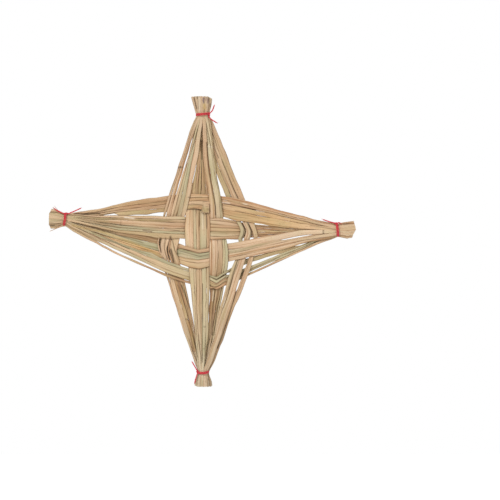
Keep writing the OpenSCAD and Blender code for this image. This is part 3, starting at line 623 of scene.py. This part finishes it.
def wander(x, chance, size, waves=4):
    """A line that wanders between about -1 and 1, with swings near the given size."""
    total = np.zeros_like(x)
    for _ in range(waves):
        wave = size * chance.uniform(0.6, 1.8)
        total += np.sin(x * 2 * math.pi / wave + chance.uniform(0, 2 * math.pi))
    return total / math.sqrt(waves)


def in_rows(numbers, size):
    """Numbers laid out in rows of one size."""
    return np.array(numbers, float).reshape(-1, size)


def mesh_object(name, points, faces, material, smooth_below=50):
    """A piece whose edges are smooth below an angle in degrees."""
    mesh = bpy.data.meshes.new(name)
    mesh.from_pydata(points.tolist(), [], faces)
    mesh.materials.append(material)
    mesh.polygons.foreach_set("use_smooth", [True] * len(mesh.polygons))
    mesh.set_sharp_from_angle(angle=math.radians(smooth_below))
    piece = bpy.data.objects.new(name, mesh)
    bpy.context.scene.collection.objects.link(piece)
    return piece


def keep_on_mesh(piece, name, kind, values):
    """Stores one value for each point of the mesh, for its material to read."""
    layer = piece.data.attributes.new(name, kind, "POINT")
    key = {"FLOAT": "value", "FLOAT_VECTOR": "vector", "FLOAT_COLOR": "color"}[kind]
    layer.data.foreach_set(key, np.ascontiguousarray(values, dtype=np.float32).ravel())


def tube_faces(rings, count, flip=False, closed=False):
    """Faces of a skin over rings of equally many points, with its two ends closed."""
    around = [(k, (k + 1) % count) for k in range(count)]
    spans = [(a, (a + 1) % rings) for a in range(rings if closed else rings - 1)]
    faces = [(a * count + k, a * count + n, b * count + n, b * count + k)
             for a, b in spans for k, n in around]
    if not closed:
        faces.append(tuple(range(count - 1, -1, -1)))
        faces.append(tuple((rings - 1) * count + k for k in range(count)))
    return [f[::-1] for f in faces] if flip else faces


class Way:
    """One of the two ways that straws run: its axes, whose rows turn a point of the frame into
    a straw's own place (along it, across it, into the depth), the ties at its two ends, and the
    hanging point's pixel along and across it."""

    def __init__(self, axes, ends, origin_px):
        self.axes = np.array(axes, float)
        self.ends = ends
        self.along_px, self.across_px = origin_px
        self.centre = (self.axes @ WEAVE_CENTRE)[0]

    def tie_place(self, tie):
        """A tie's place along its arm, across it, and its bundle's radius."""
        x, z = TIES[tie]["at"]
        along, side, _ = self.axes @ (np.array([x, 0, z]) * MM)
        return along, side, TIES[tie]["radius"] * MM

    def near_ties(self, along, low, high):
        """Rises from 0 to 1 towards both ends, between two distances past their ties."""
        return sum(smoothstep(out * (along - self.tie_place(tie)[0]), low, high)
                   for out, tie in zip((-1, 1), self.ends))

    def photo_rows(self, numbers, size):
        """Rows that start with a pixel along a straw: that place in metres, and the rest."""
        rows = in_rows(numbers, size)
        return (rows[:, 0] - self.along_px) * PIXEL, rows[:, 1:].T


UPRIGHT = Way([[0, 0, -1], [1, 0, 0], [0, 1, 0]], ("upper", "lower"), ORIGIN_PX[::-1])
CROSSWISE = Way([[1, 0, 0], [0, 0, -1], [0, 1, 0]], ("left", "right"), ORIGIN_PX)


def sliced(triangles, station, shares):
    """Where a plane across the straw cuts its solid: its two edges, and at each share of the
    width the middle of its depth and its thickness."""
    first, second = triangles, np.roll(triangles, -1, axis=1)
    crosses = (first[:, :, 0] - station) * (second[:, :, 0] - station) < 0
    cut = crosses.sum(1) == 2
    first, second, crosses = first[cut], second[cut], crosses[cut]
    run = np.where(crosses, second[:, :, 0] - first[:, :, 0], 1)
    where = ((station - first[:, :, 0]) / run)[:, :, None]
    ends = (first + (second - first) * where)[crosses].reshape(-1, 2, 3)
    low, high = ends[:, :, 1].min(), ends[:, :, 1].max()
    sides = (low + high) / 2 + np.clip(shares, -SLICE_REACH, SLICE_REACH) * (high - low) / 2
    a, b = ends[:, 0, :, None], ends[:, 1, :, None]
    width = b[:, 1] - a[:, 1]
    holds = ((np.minimum(a[:, 1], b[:, 1]) <= sides) & (sides <= np.maximum(a[:, 1], b[:, 1]))
             & (abs(width) > 1e-9))
    depth = a[:, 2] + (b[:, 2] - a[:, 2]) * (sides - a[:, 1]) / np.where(holds, width, 1)
    front = np.where(holds, depth, np.inf).min(0)
    back = np.where(holds, depth, -np.inf).max(0)
    return low, high, (front + back) / 2, (back - front).max()


class Line:
    """A straw's line through the weave, read from its solid in its own place."""

    def __init__(self, node, way):
        mesh = frame["nodes"][node].data
        mesh.calc_loop_triangles()
        points = np.array([v.co for v in mesh.vertices]) @ way.axes.T
        triangles = points[np.array([t.vertices[:] for t in mesh.loop_triangles])]
        start, end = triangles[:, :, 0].min(), triangles[:, :, 0].max()
        self.along = np.linspace(start, end, int((end - start) / STATION_STEP) + 1)
        step = self.along[1] - self.along[0]
        inside = np.clip(self.along, start + SLICE_INSET, end - SLICE_INSET)
        widest = max(np.ptp(sliced(triangles, x, np.zeros(1))[:2]) for x in inside[::12])
        count = int(np.clip(widest / POINT_SPACING, *POINTS_ACROSS)) // 2 * 2 + 1
        even = np.linspace(-1, 1, count)
        self.shares = (1 - EDGE_CROWDING) * even + EDGE_CROWDING * np.sin(even * math.pi / 2)
        cuts = [sliced(triangles, x, self.shares) for x in inside]
        low, high, depth, thick = [np.array(values) for values in zip(*cuts)]
        self.low = blurred(low, step, EDGE_BLUR)
        self.high = blurred(high, step, EDGE_BLUR)
        self.depth = blurred(depth, step, BEND_BLUR)
        self.bow = blurred(depth, step, BOW_BLUR)
        self.thick = blurred(thick, step, EDGE_BLUR)


def move_edges(name, line, way):
    """Kinks a straw's edges by its rows in EDGE_MOVES."""
    for edge, numbers in zip((line.low, line.high), EDGE_MOVES.get(name, ())):
        if numbers:
            places, (moves,) = way.photo_rows(numbers, 2)
            edge += np.interp(line.along, places, moves) * PIXEL


def fit_bundles(lines, way):
    """Draws the straws of each bundle in or out, so that its outline is the photographed one."""
    edges = [(line.along, line.low.copy(), line.high.copy()) for line in lines]
    for line in lines:
        along = line.along
        hull_low = np.min([np.interp(along, x, low) for x, low, _ in edges], axis=0)
        hull_high = np.max([np.interp(along, x, high) for x, _, high in edges], axis=0)
        for out, tie in zip((-1, 1), way.ends):
            places, outline = way.photo_rows(BUNDLE_OUTLINES[tie], 3)
            inner = places[-1] if out < 0 else places[0]
            weight = smoothstep(out * (along - inner), 0, OUTLINE_FADE)
            goal_low, goal_high = [np.interp(along, places, (side - way.across_px) * PIXEL)
                                   for side in outline]
            goal_low, goal_high = goal_low + OUTLINE_INSET, goal_high - OUTLINE_INSET
            share = (goal_high - goal_low) / (hull_high - hull_low)
            for edge in (line.low, line.high):
                edge += weight * (goal_low + (edge - hull_low) * share - edge)


def to_tuft_cuts(along, side, way):
    """Draws both ends of a straw out or in to the cuts of its tufts."""
    place = np.repeat(along[:, None], side.shape[1], axis=1)
    for end, out, tie in ((0, -1, way.ends[0]), (-1, 1, way.ends[1])):
        across, cut = in_rows(TUFT_CUTS[tie], 2).T
        goal = np.interp(side[end] / PIXEL + way.across_px, across, cut)
        goal = (goal - way.along_px) * PIXEL
        weight = smoothstep(out * (along - along[end]), -CUT_REACH, 0)
        place += weight[:, None] * (goal - along[end])
    return place


def round_bundles(way, lines, along, side, depth):
    """Presses the stepped bundle at both ends of the straws into a round one."""
    for out, tie in zip((-1, 1), way.ends):
        place, middle, _ = way.tie_place(tie)
        weight = smoothstep(out * (along - place), -ROUND_REACH, -ROUND_FIRM)[:, None]
        hull = np.max([abs(np.interp(along, line.along, edge) - middle)
                       for line in lines for edge in (line.low, line.high)], axis=0)
        across = abs(side - middle) / hull[:, None] * STEP_PLACES[1]
        stepped = np.interp(across, STEP_PLACES, STEP_DEPTHS)
        disc = ROUND_DEPTH * np.sqrt(np.maximum(1 - (across / ROUND_WIDTH) ** 2, ROUND_FLOOR))
        depth = depth * (1 + weight * (disc / stepped - 1))
    return depth


def straw_tone(letters, way, along, chance):
    """The straw's colour at each station, from its tones at both arms, in the weave and at
    both tufts."""
    stops = np.array([linear(TONES[letter])[:3] for letter in letters])
    tufts = np.array([linear(TUFT_TONES[tie])[:3] for tie in way.ends])
    tufts = stops[[0, -1]] * (1 - TUFT_SHARE) + tufts * TUFT_SHARE
    stops = np.concatenate([tufts[:1], stops, tufts[1:]])
    places = [-TUFT_REACH, -TONE_REACH, 0, TONE_REACH, TUFT_REACH]
    colour = np.stack([np.interp(along, places, stops[:, c]) for c in range(3)], axis=1)
    colour = colour * (1 + TONE_DRIFT * wander(along, chance, TONE_WAVE))[:, None]
    return colour * chance.uniform(*TONE_SPREAD)


def marked(kind, x, z):
    """How strongly the marks of a kind show at each point of the face."""
    px, py = x / PIXEL + ORIGIN_PX[0], ORIGIN_PX[1] - z / PIXEL
    total = np.zeros_like(px)
    for width, strength, *numbers in FACE_MARKS[kind]:
        points = in_rows(numbers, 2)
        near = np.full_like(px, np.inf)
        for (ax, ay), run in zip(points, np.diff(points, axis=0)):
            t = np.clip(((px - ax) * run[0] + (py - ay) * run[1]) / (run ** 2).sum(), 0, 1)
            near = np.minimum(near, np.hypot(px - ax - t * run[0], py - ay - t * run[1]))
        total = np.maximum(total, strength * np.exp(-(near * PIXEL / (width * MM)) ** 2))
    return total


def crease(face, sign, profile, line, half, bundled, chance):
    """Lays wandering creases along one face of a straw."""
    for _ in range(int(2 * half.max() / CREASE_SPACING) + 1):
        path = chance.uniform(-CREASE_SPREAD, CREASE_SPREAD)
        path = path + CREASE_SWAY * wander(line.along, chance, CREASE_WAVE, 3)
        deep = CREASE_DEPTH * chance.uniform(*CREASE_SHARES)
        deep = deep * (1 + CREASE_EASE * (wander(line.along, chance, CREASE_FADE, 2) - 1))
        deep = np.clip(deep, 0, None) * (1 - BUNDLE_CALM * bundled)
        gap = (line.shares - path[:, None]) * half[:, None] / CREASE_WIDTH
        face += sign * deep[:, None] * np.exp(-gap ** 2) * profile


def ring_points(place, side, front, back):
    """Rings round a straw: across its front from edge to edge, and back behind."""
    return np.concatenate([np.stack([place, side, front], 2),
                           np.stack([place, side, back], 2)[:, -2:0:-1]], axis=1)


def make_straw(name, letters, way, line, lines, chance):
    """One flattened straw: round edges, wandering creases, stem joints and hollow cut ends."""
    along, shares = line.along, line.shares
    from_middle = along - way.centre
    in_field = 1 - smoothstep(abs(from_middle), FIELD_HALF, FIELD_HALF + FIELD_FADE)
    bundled = way.near_ties(along, -BUNDLE_REACH, -BUNDLE_FIRM)
    tufted = way.near_ties(along, *TUFT_OPENING)
    overlap = SEAM_OVERLAP + (BUNDLE_OVERLAP - SEAM_OVERLAP) * bundled
    low = line.low - overlap + EDGE_WANDER * wander(along, chance, EDGE_WAVE)
    high = line.high + overlap + EDGE_WANDER * wander(along, chance, EDGE_WAVE)
    middle, half = (low + high) / 2, (high - low) / 2
    side = middle[:, None] + half[:, None] * shares
    swell, stain = np.zeros_like(along), np.zeros_like(along)
    for place, dark in STEM_JOINTS.get(name, ()):
        swell += np.exp(-((from_middle - place) / (3 * JOINT_WIDTH)) ** 2)
        stain += dark * np.exp(-((from_middle - place) / JOINT_WIDTH) ** 2)
    depth = line.depth + BOW_SHARE * in_field[:, None] * line.bow
    roll = ROLL * wander(along, chance, ROLL_WAVE, 3) * (1 - WEAVE_GRIP * in_field)
    depth += np.tan(roll)[:, None] * (side - middle[:, None])
    power = (np.interp(half, HALF_WIDTHS, FLATNESS) + BUNDLE_FLATNESS * bundled)[:, None]
    profile = np.sqrt(np.maximum(1 - abs(shares) ** power, 0))
    crown = 1 + CROWN * (1 - BUNDLE_CROWN * bundled)[:, None] * (1 - shares ** 2)
    thick = line.thick * (1 + JOINT_SWELL * swell + TUFT_SWELL * tufted)
    thick = thick[:, None] * profile * crown / 2
    depth = depth * (1 - TUFT_PRESS * tufted)[:, None]
    front, back = depth - thick, depth + thick
    crease(front, 1, profile, line, half, bundled, chance)
    crease(back, -1, profile, line, half, bundled, chance)
    place = to_tuft_cuts(along, side, way)
    for end, inward in ((0, 1), (-1, -1)):
        ragged = np.clip(chance.normal(*RAGGED_SHARES, len(shares)), 0, RAGGED_MOST)
        place[end] += inward * RAGGED_CUT * ragged
    world = np.stack([place, side, front], 2) @ way.axes
    front = front + MARK_GROOVE * marked("dark", world[:, :, 0], world[:, :, 2])
    rings = ring_points(place, side, front, back)
    rings[:, :, 2] = round_bundles(way, lines, along, rings[:, :, 1], rings[:, :, 2])
    # How dark the painted shade along each edge is, weaker inside a bundle
    seam_shades = []
    for _ in range(2):  # along the lower edge, then the higher one
        shade = chance.uniform(*SEAM_SHADES) + SEAM_SWING * wander(along, chance, SEAM_TIDE, 3)
        seam_shades.append(np.clip(shade, SEAM_LEAST, 1) * (1 - BUNDLE_CALM * bundled))
    build_straw(name, letters, way, rings, shares, from_middle, half, stain, seam_shades, chance)


def with_mouths(values):
    """Values along a straw, repeated for the rim and the bottom of its hollow ends."""
    return np.concatenate([values[[0, 0]], values, values[[-1, -1]]])


def build_straw(name, letters, way, rings, shares, from_middle, half, stain, seam_shades, chance):
    """Meshes the rings of a straw, hollows its ends and stores what its skin reads."""
    count = rings.shape[1]
    around = np.concatenate([shares, shares[-2:0:-1]])
    first, last = [ring.mean(0) + (ring - ring.mean(0)) * MOUTH_RIM for ring in rings[[0, -1]]]
    inward = np.array([HOLLOW_DEPTH, 0, 0])
    skin = np.concatenate([[first + inward, first], rings, [last, last - inward]])
    stations, widths = with_mouths(from_middle), with_mouths(half)
    points = skin.reshape(-1, 3) @ way.axes
    flip = np.linalg.det(way.axes) > 0
    slot = SLOTS[name]
    piece = mesh_object("dressed_" + name, points, tube_faces(len(skin), count, flip),
                        STRAW_SKINS[slot])
    tone = np.repeat(straw_tone(letters, way, stations, chance), count, axis=0)
    stains = np.repeat(np.pad(stain, 2), count)
    is_front = np.tile(np.arange(count) < len(shares), len(skin))
    for kind, colour in MARK_COLOURS.items():
        mark = marked(kind, points[:, 0], points[:, 2]) * is_front
        # Dark marks are painted shade; the real stem joints darken with them
        if kind == "dark":
            mark = np.maximum(mark, stains)
        tone += (np.array(linear(colour)[:3]) - tone) * np.clip(mark, 0, 1)[:, None]
    tone = np.pad(tone, ((0, 0), (0, 1)), constant_values=1)
    keep_on_mesh(piece, "straw_tone", "FLOAT_COLOR", tone)
    seed = chance.uniform(0, GRAIN_SPREAD) + BACK_GRAIN * (np.arange(count) >= len(shares))
    grain = np.broadcast_arrays(widths[:, None] * around / MM, stations[:, None] / MM, seed)
    keep_on_mesh(piece, "straw_place", "FLOAT_VECTOR", np.stack(grain, 2))
    # Painted shade along both edges, where the straw meets its neighbours
    low_seam_shade, high_seam_shade = [with_mouths(seam_shade)[:, None] for seam_shade in seam_shades]
    inset = widths[:, None] * (1 - abs(around))
    edge = np.clip(1 - inset / SEAM_WIDTH, 0, 1) * np.where(around < 0, low_seam_shade, high_seam_shade)
    keep_on_mesh(piece, "straw_edge", "FLOAT", edge)
    # Painted shade inside the hollow cut ends, strongest at their bottom
    cut = np.concatenate([MOUTH_SHADES, np.zeros(len(rings)), MOUTH_SHADES[::-1]])
    keep_on_mesh(piece, "straw_cut", "FLOAT", np.repeat(cut, count))
    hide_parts(name)
    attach(piece, "root")


def make_ribbons(ribbons, way, seed):
    """All straws of the four ribbons that run one way."""
    straws = [(f"{ribbon}_straw_{k + 1}", letters) for ribbon, tones in ribbons.items()
              for k, letters in enumerate(tones)]
    lines = [Line(name, way) for name, _ in straws]
    for (name, _), line in zip(straws, lines):
        move_edges(name, line, way)
    fit_bundles(lines, way)
    for number, ((name, letters), line) in enumerate(zip(straws, lines)):
        chance = np.random.default_rng([seed, number])
        make_straw(name, letters, way, line, lines, chance)


def make_tucked_end():
    """The rough end of a short straw, tucked over the top crosspiece and torn below."""
    line = Line("tucked_end", UPRIGHT)
    chance = np.random.default_rng(41)
    shares = np.linspace(-1, 1, TUCK_POINTS)
    along = np.linspace(line.along[0], line.along[-1], TUCK_RINGS)
    half, middle, centre, thick = [np.interp(along, line.along, values) for values in (
        (line.high - line.low) / 2, (line.high + line.low) / 2, line.depth.mean(1), line.thick)]
    flare = smoothstep(along[-1] - along, *TIP_REACH)
    half += TUCK_WIDEN * (1 + wander(along, chance, TUCK_REACH)) + TIP_FLARE * flare
    middle += TUCK_SHIFT - TIP_LEAN * flare
    centre += TUCK_DEPTH * (1 - smoothstep(along - along[0], 0, TUCK_REACH))
    profile = np.sqrt(1 - abs(shares) ** TUCK_POWER)
    side = middle[:, None] + half[:, None] * shares
    body = thick[:, None] * profile / 2
    front, back = centre[:, None] - body, centre[:, None] + body
    for _ in range(RIDGES):
        path = chance.uniform(-RIDGE_SPREAD, RIDGE_SPREAD)
        path = path + RIDGE_SWAY * wander(along, chance, RIDGE_WAVE, 2)
        gap = (shares - path[:, None]) * half[:, None] / RIDGE_WIDTH
        front = front + RIDGE_DEPTH * np.exp(-gap ** 2) * profile
    place = np.repeat(along[:, None], len(shares), axis=1)
    for end, spread, most in zip((-1, 0), TORN, TORN_MOST):
        place[end] += np.clip(chance.normal(0, spread, len(shares)), -most, most) * MM
    place[-1] += (TIP_HANG - shares ** 2) * MM
    from_middle = along - UPRIGHT.centre
    stain = 0.5 * smoothstep(along, along[-1] - TIP_STAIN, along[-1])
    seam_shades = [np.full_like(along, shade) for shade in TUCK_SEAM_SHADES]
    build_straw("tucked_end", TUCKED_TONES, UPRIGHT, ring_points(place, side, front, back), shares,
                from_middle, half, stain, seam_shades, chance)


def through(points, step):
    """A smooth curve through points, in even steps."""
    points = np.asarray(points, float)
    padded = np.vstack([2 * points[0] - points[1], points, 2 * points[-1] - points[-2]])
    fine = []
    for a, b, c, d in zip(padded, padded[1:], padded[2:], padded[3:]):
        for t in np.linspace(0, 1, CURVE_STEPS, endpoint=False):
            fine.append(0.5 * (2 * b + (c - a) * t + (2 * a - 5 * b + 4 * c - d) * t ** 2
                               + (3 * b - a - 3 * c + d) * t ** 3))
    fine = np.array(fine + [points[-1]])
    reach = np.concatenate([[0], np.cumsum(np.linalg.norm(np.diff(fine, axis=0), axis=1))])
    even = np.linspace(0, reach[-1], max(3, int(reach[-1] / step)))
    return np.stack([np.interp(even, reach, fine[:, c]) for c in range(3)], axis=1)


def frames_along(path, closed=False):
    """Two directions square to a path at each point, turned as little as possible."""
    if closed:
        heading = np.roll(path, -1, axis=0) - np.roll(path, 1, axis=0)
    else:
        heading = np.gradient(path, axis=0)
    heading /= np.linalg.norm(heading, axis=1)[:, None]
    across = np.zeros_like(path)
    guess = np.cross(heading[0], (0.3, 0.5, 0.8))  # a direction that no path starts along
    for k, ahead in enumerate(heading):
        guess = guess - ahead * guess.dot(ahead)
        guess /= np.linalg.norm(guess)
        across[k] = guess
    return across, np.cross(heading, across)


def tube(path, radius, sides, closed=False):
    """Rings of a round tube along a path."""
    across, up = frames_along(path, closed)
    turn = (np.arange(sides) * 2 * math.pi / sides)[:, None]
    radius = np.broadcast_to(radius, len(path))[:, None, None]
    return path[:, None] + radius * (across[:, None] * np.cos(turn) + up[:, None] * np.sin(turn))


def tube_piece(name, tubes, skin, closed=False):
    """One piece of one or more tubes, each given by its rings."""
    points, faces = [], []
    for rings in tubes:
        start = sum(len(p) for p in points)
        points.append(rings.reshape(-1, 3))
        faces += [tuple(start + k for k in face)
                  for face in tube_faces(len(rings), rings.shape[1], closed=closed)]
    piece = mesh_object(name, np.concatenate(points), faces, skin, ROUND_ALL_OVER)
    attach(piece, "root")
    return piece


def twisted(name, path, closed=False, scale=1.0):
    """Two plies of thread twisted round a path, as one piece."""
    across, up = frames_along(path, closed)
    steps = np.linalg.norm(np.diff(path, axis=0), axis=1)
    turn = np.concatenate([[0], np.cumsum(steps)]) / PLY_LAY * 2 * math.pi
    tubes, ply_shade = [], []
    for ply in (0, math.pi):
        away = across * np.cos(turn + ply)[:, None] + up * np.sin(turn + ply)[:, None]
        centre = path + PLY_OFFSET * scale * away
        rings = tube(centre, PLY_RADIUS * scale, PLY_SIDES, closed)
        tubes.append(rings)
        # Painted shade on the side of each ply that faces the other
        outward = ((rings - centre[:, None]) * away[:, None]).sum(2) / (PLY_RADIUS * scale)
        ply_shade.append(np.clip(-outward, 0, 1).ravel())
    piece = tube_piece(name, tubes, THREAD_SKIN, closed)
    keep_on_mesh(piece, "ply_groove_shade", "FLOAT", np.concatenate(ply_shade))
    return piece


def to_frame(points):
    """Points to the right, up and towards the front, in mm, as places in the frame."""
    return np.array([(x, -y, z) for x, z, y in points]) * MM


def make_binding(tie):
    """Two close turns round the bundle and both tails, in one run of thread."""
    way = UPRIGHT if tie in UPRIGHT.ends else CROSSWISE
    out = -1 if tie == way.ends[0] else 1
    facts = TIES[tie]
    place, middle, radius = way.tie_place(tie)
    ring = radius * TURN_REACH + PLY_RADIUS * TURN_PLIES
    knot_way = facts["knot"] * (1 if way is UPRIGHT else -1)
    angles = np.radians(np.arange(0, TURNS * 360 + 1, 10))
    across = knot_way * ring * np.cos(angles + KNOT_TURN)
    depth = -ring * np.sin(angles + KNOT_TURN)
    along = place + out * (0.5 - angles / (TURNS * 2 * math.pi)) * TURNS * TURN_PITCH
    along = along - facts["tilt"] * MM / 2 * across / ring
    along = along + facts["sag"] * MM * (1 - (across / ring) ** 2) * np.sign(-depth)
    turns = np.stack([along, middle + across, depth], 1) @ way.axes
    first, last = [to_frame(tail) for tail in TAILS[tie]]
    route = np.concatenate([first[::-1], turns, last])
    piece = twisted(tie + "_thread", through(route, THREAD_STEP))
    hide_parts(tie + "_binding")
    make_knot(tie, (turns[0] + turns[-1]) / 2)
    for number, (before, tip) in enumerate((first[-2:], last[-2:]), 1):
        fray(f"{tie}_frayed_tip_{number}", tip, tip - before)


def make_knot(tie, centre):
    """The small overhand knot that holds a binding, a trefoil drawn tight."""
    t = np.linspace(0, 2 * math.pi, 60, endpoint=False)
    trefoil = [np.sin(t) + 2 * np.sin(2 * t), -1.2 * np.sin(3 * t), np.cos(t) - 2 * np.cos(2 * t)]
    path = np.stack(trefoil, 1) * KNOT_SIZE + centre - np.array([0, KNOT_FRONT, 0])
    twisted(tie + "_knot", path, closed=True, scale=KNOT_SCALE)


def fray(name, tip, ahead):
    """Loose cotton fibres at the cut end of a tail, seeded by where it is."""
    chance = np.random.default_rng(int(abs(tip).sum() * 1e6))
    ahead = ahead / np.linalg.norm(ahead)
    tubes = []
    for _ in range(FRAYED_FIBRES):
        lean = ahead + chance.normal(0, FIBRE_LEAN, 3)
        end = tip + lean * chance.uniform(*FIBRE_LENGTHS)
        path = through([tip - FIBRE_ROOT * ahead, tip, end], THREAD_STEP)
        tubes.append(tube(path, np.linspace(*FIBRE_RADII, len(path)), FIBRE_SIDES))
    piece = tube_piece(name, tubes, THREAD_SKIN)
    # Loose fibres get no painted ply shade
    keep_on_mesh(piece, "ply_groove_shade", "FLOAT", np.zeros(len(piece.data.vertices)))


def make_slivers():
    """The loose slivers of straw that stand off the tufts."""
    for name, (points, radius) in SLIVERS.items():
        path = through(to_frame(points), SLIVER_STEP * MM)
        taper = np.linspace(1, SLIVER_TAPER, len(path))
        rings = tube(path, radius * MM * taper, SLIVER_SIDES)
        piece = tube_piece(name, [rings], STRAW_SKINS["straw_pale"])
        tone = np.tile(linear(TONES["k"]), (len(rings) * SLIVER_SIDES, 1))
        keep_on_mesh(piece, "straw_tone", "FLOAT_COLOR", tone)
        grain = np.broadcast_arrays(np.arange(SLIVER_SIDES) * radius,
                                    np.arange(len(rings))[:, None] * SLIVER_STEP, 0.0)
        keep_on_mesh(piece, "straw_place", "FLOAT_VECTOR", np.stack(grain, 2))


def make_camera():
    """A long lens whose frame covers the photograph at the face's distance."""
    data = bpy.data.cameras.new("camera")
    data.lens = LENS
    data.sensor_width = SENSOR
    camera = bpy.data.objects.new("camera", data)
    right, down = [(PHOTO_SIZE / 2 - start) * PIXEL for start in ORIGIN_PX]
    camera.location = (right, -PHOTO_SIZE * PIXEL * LENS / SENSOR, -down)
    camera.rotation_euler = (math.radians(90), 0, 0)
    bpy.context.scene.collection.objects.link(camera)
    bpy.context.scene.camera = camera


def make_lamp(name, place, size, power):
    """A soft square lamp aimed at the middle of the face."""
    data = bpy.data.lights.new(name, "AREA")
    data.size = size
    data.energy = power
    lamp = bpy.data.objects.new(name, data)
    lamp.location = place
    lamp.rotation_mode = "QUATERNION"
    lamp.rotation_quaternion = (Vector(FACE_MIDDLE) - Vector(place)).to_track_quat("-Z", "Y")
    bpy.context.scene.collection.objects.link(lamp)


def seen_by_eye(tree):
    """1 where the camera looks straight at a surface, or sees it in gloss or glass."""
    rays = add(tree, "ShaderNodeLightPath").outputs
    seen = rays["Is Camera Ray"]
    for ray in ("Is Glossy Ray", "Is Transmission Ray"):
        seen = add(tree, "ShaderNodeMath", {0: seen, 1: rays[ray]},
                   operation="ADD", use_clamp=True).outputs[0]
    return seen


def make_floor():
    """A plain pale floor below the hanging cross."""
    grid = np.linspace(-FLOOR_HALF, FLOOR_HALF, FLOOR_SQUARES + 1)
    points = np.array([(x, y, FLOOR_LEVEL) for y in grid for x in grid])
    wide = len(grid)
    faces = [(k, k + 1, k + wide + 1, k + wide)
             for k in range(FLOOR_SQUARES * wide) if (k + 1) % wide]
    material, tree = new_material("pale_painted_floor")
    place = add(tree, "ShaderNodeTexCoord").outputs["Object"]
    speckle = add(tree, "ShaderNodeTexNoise",
                  {"Vector": place, "Scale": 60.0, "Detail": 2.0}).outputs[0]
    colour = tinted(tree, linear("#f4f4f2"), "#fafaf8", speckle)
    matt = add(tree, "ShaderNodeBsdfDiffuse", {"Color": colour}).outputs[0]
    lift = add(tree, "ShaderNodeMath", {0: seen_by_eye(tree), 1: FLOOR_LIFT},
               operation="MULTIPLY").outputs[0]
    glow = add(tree, "ShaderNodeEmission", {"Color": (1, 1, 1, 1), "Strength": lift}).outputs[0]
    both = add(tree, "ShaderNodeAddShader", {0: matt, 1: glow}).outputs[0]
    add(tree, "ShaderNodeOutputMaterial", {"Surface": both})
    floor = mesh_object("floor", points, faces, material)


def make_world():
    """Soft even light all round, seen as plain white."""
    world = bpy.data.worlds.new("studio")
    bpy.context.scene.world = world
    world.use_nodes = True
    tree = world.node_tree
    tree.nodes.clear()
    strength = add(tree, "ShaderNodeMapRange", {0: seen_by_eye(tree), 3: SKY_LIGHT}).outputs[0]
    sky = add(tree, "ShaderNodeBackground",
              {"Color": (1, 1, 1, 1), "Strength": strength}).outputs[0]
    add(tree, "ShaderNodeOutputWorld", {"Surface": sky})


make_camera()
make_ribbons(UPRIGHTS, UPRIGHT, 1)
make_ribbons(CROSSPIECES, CROSSWISE, 2)
for tie_name in TIES:
    make_binding(tie_name)
make_tucked_end()
make_slivers()
make_floor()
make_world()
for lamp_name, (place, size, power) in LAMPS.items():
    make_lamp(lamp_name, place, size, power)
bpy.context.scene.view_settings.view_transform = "Standard"
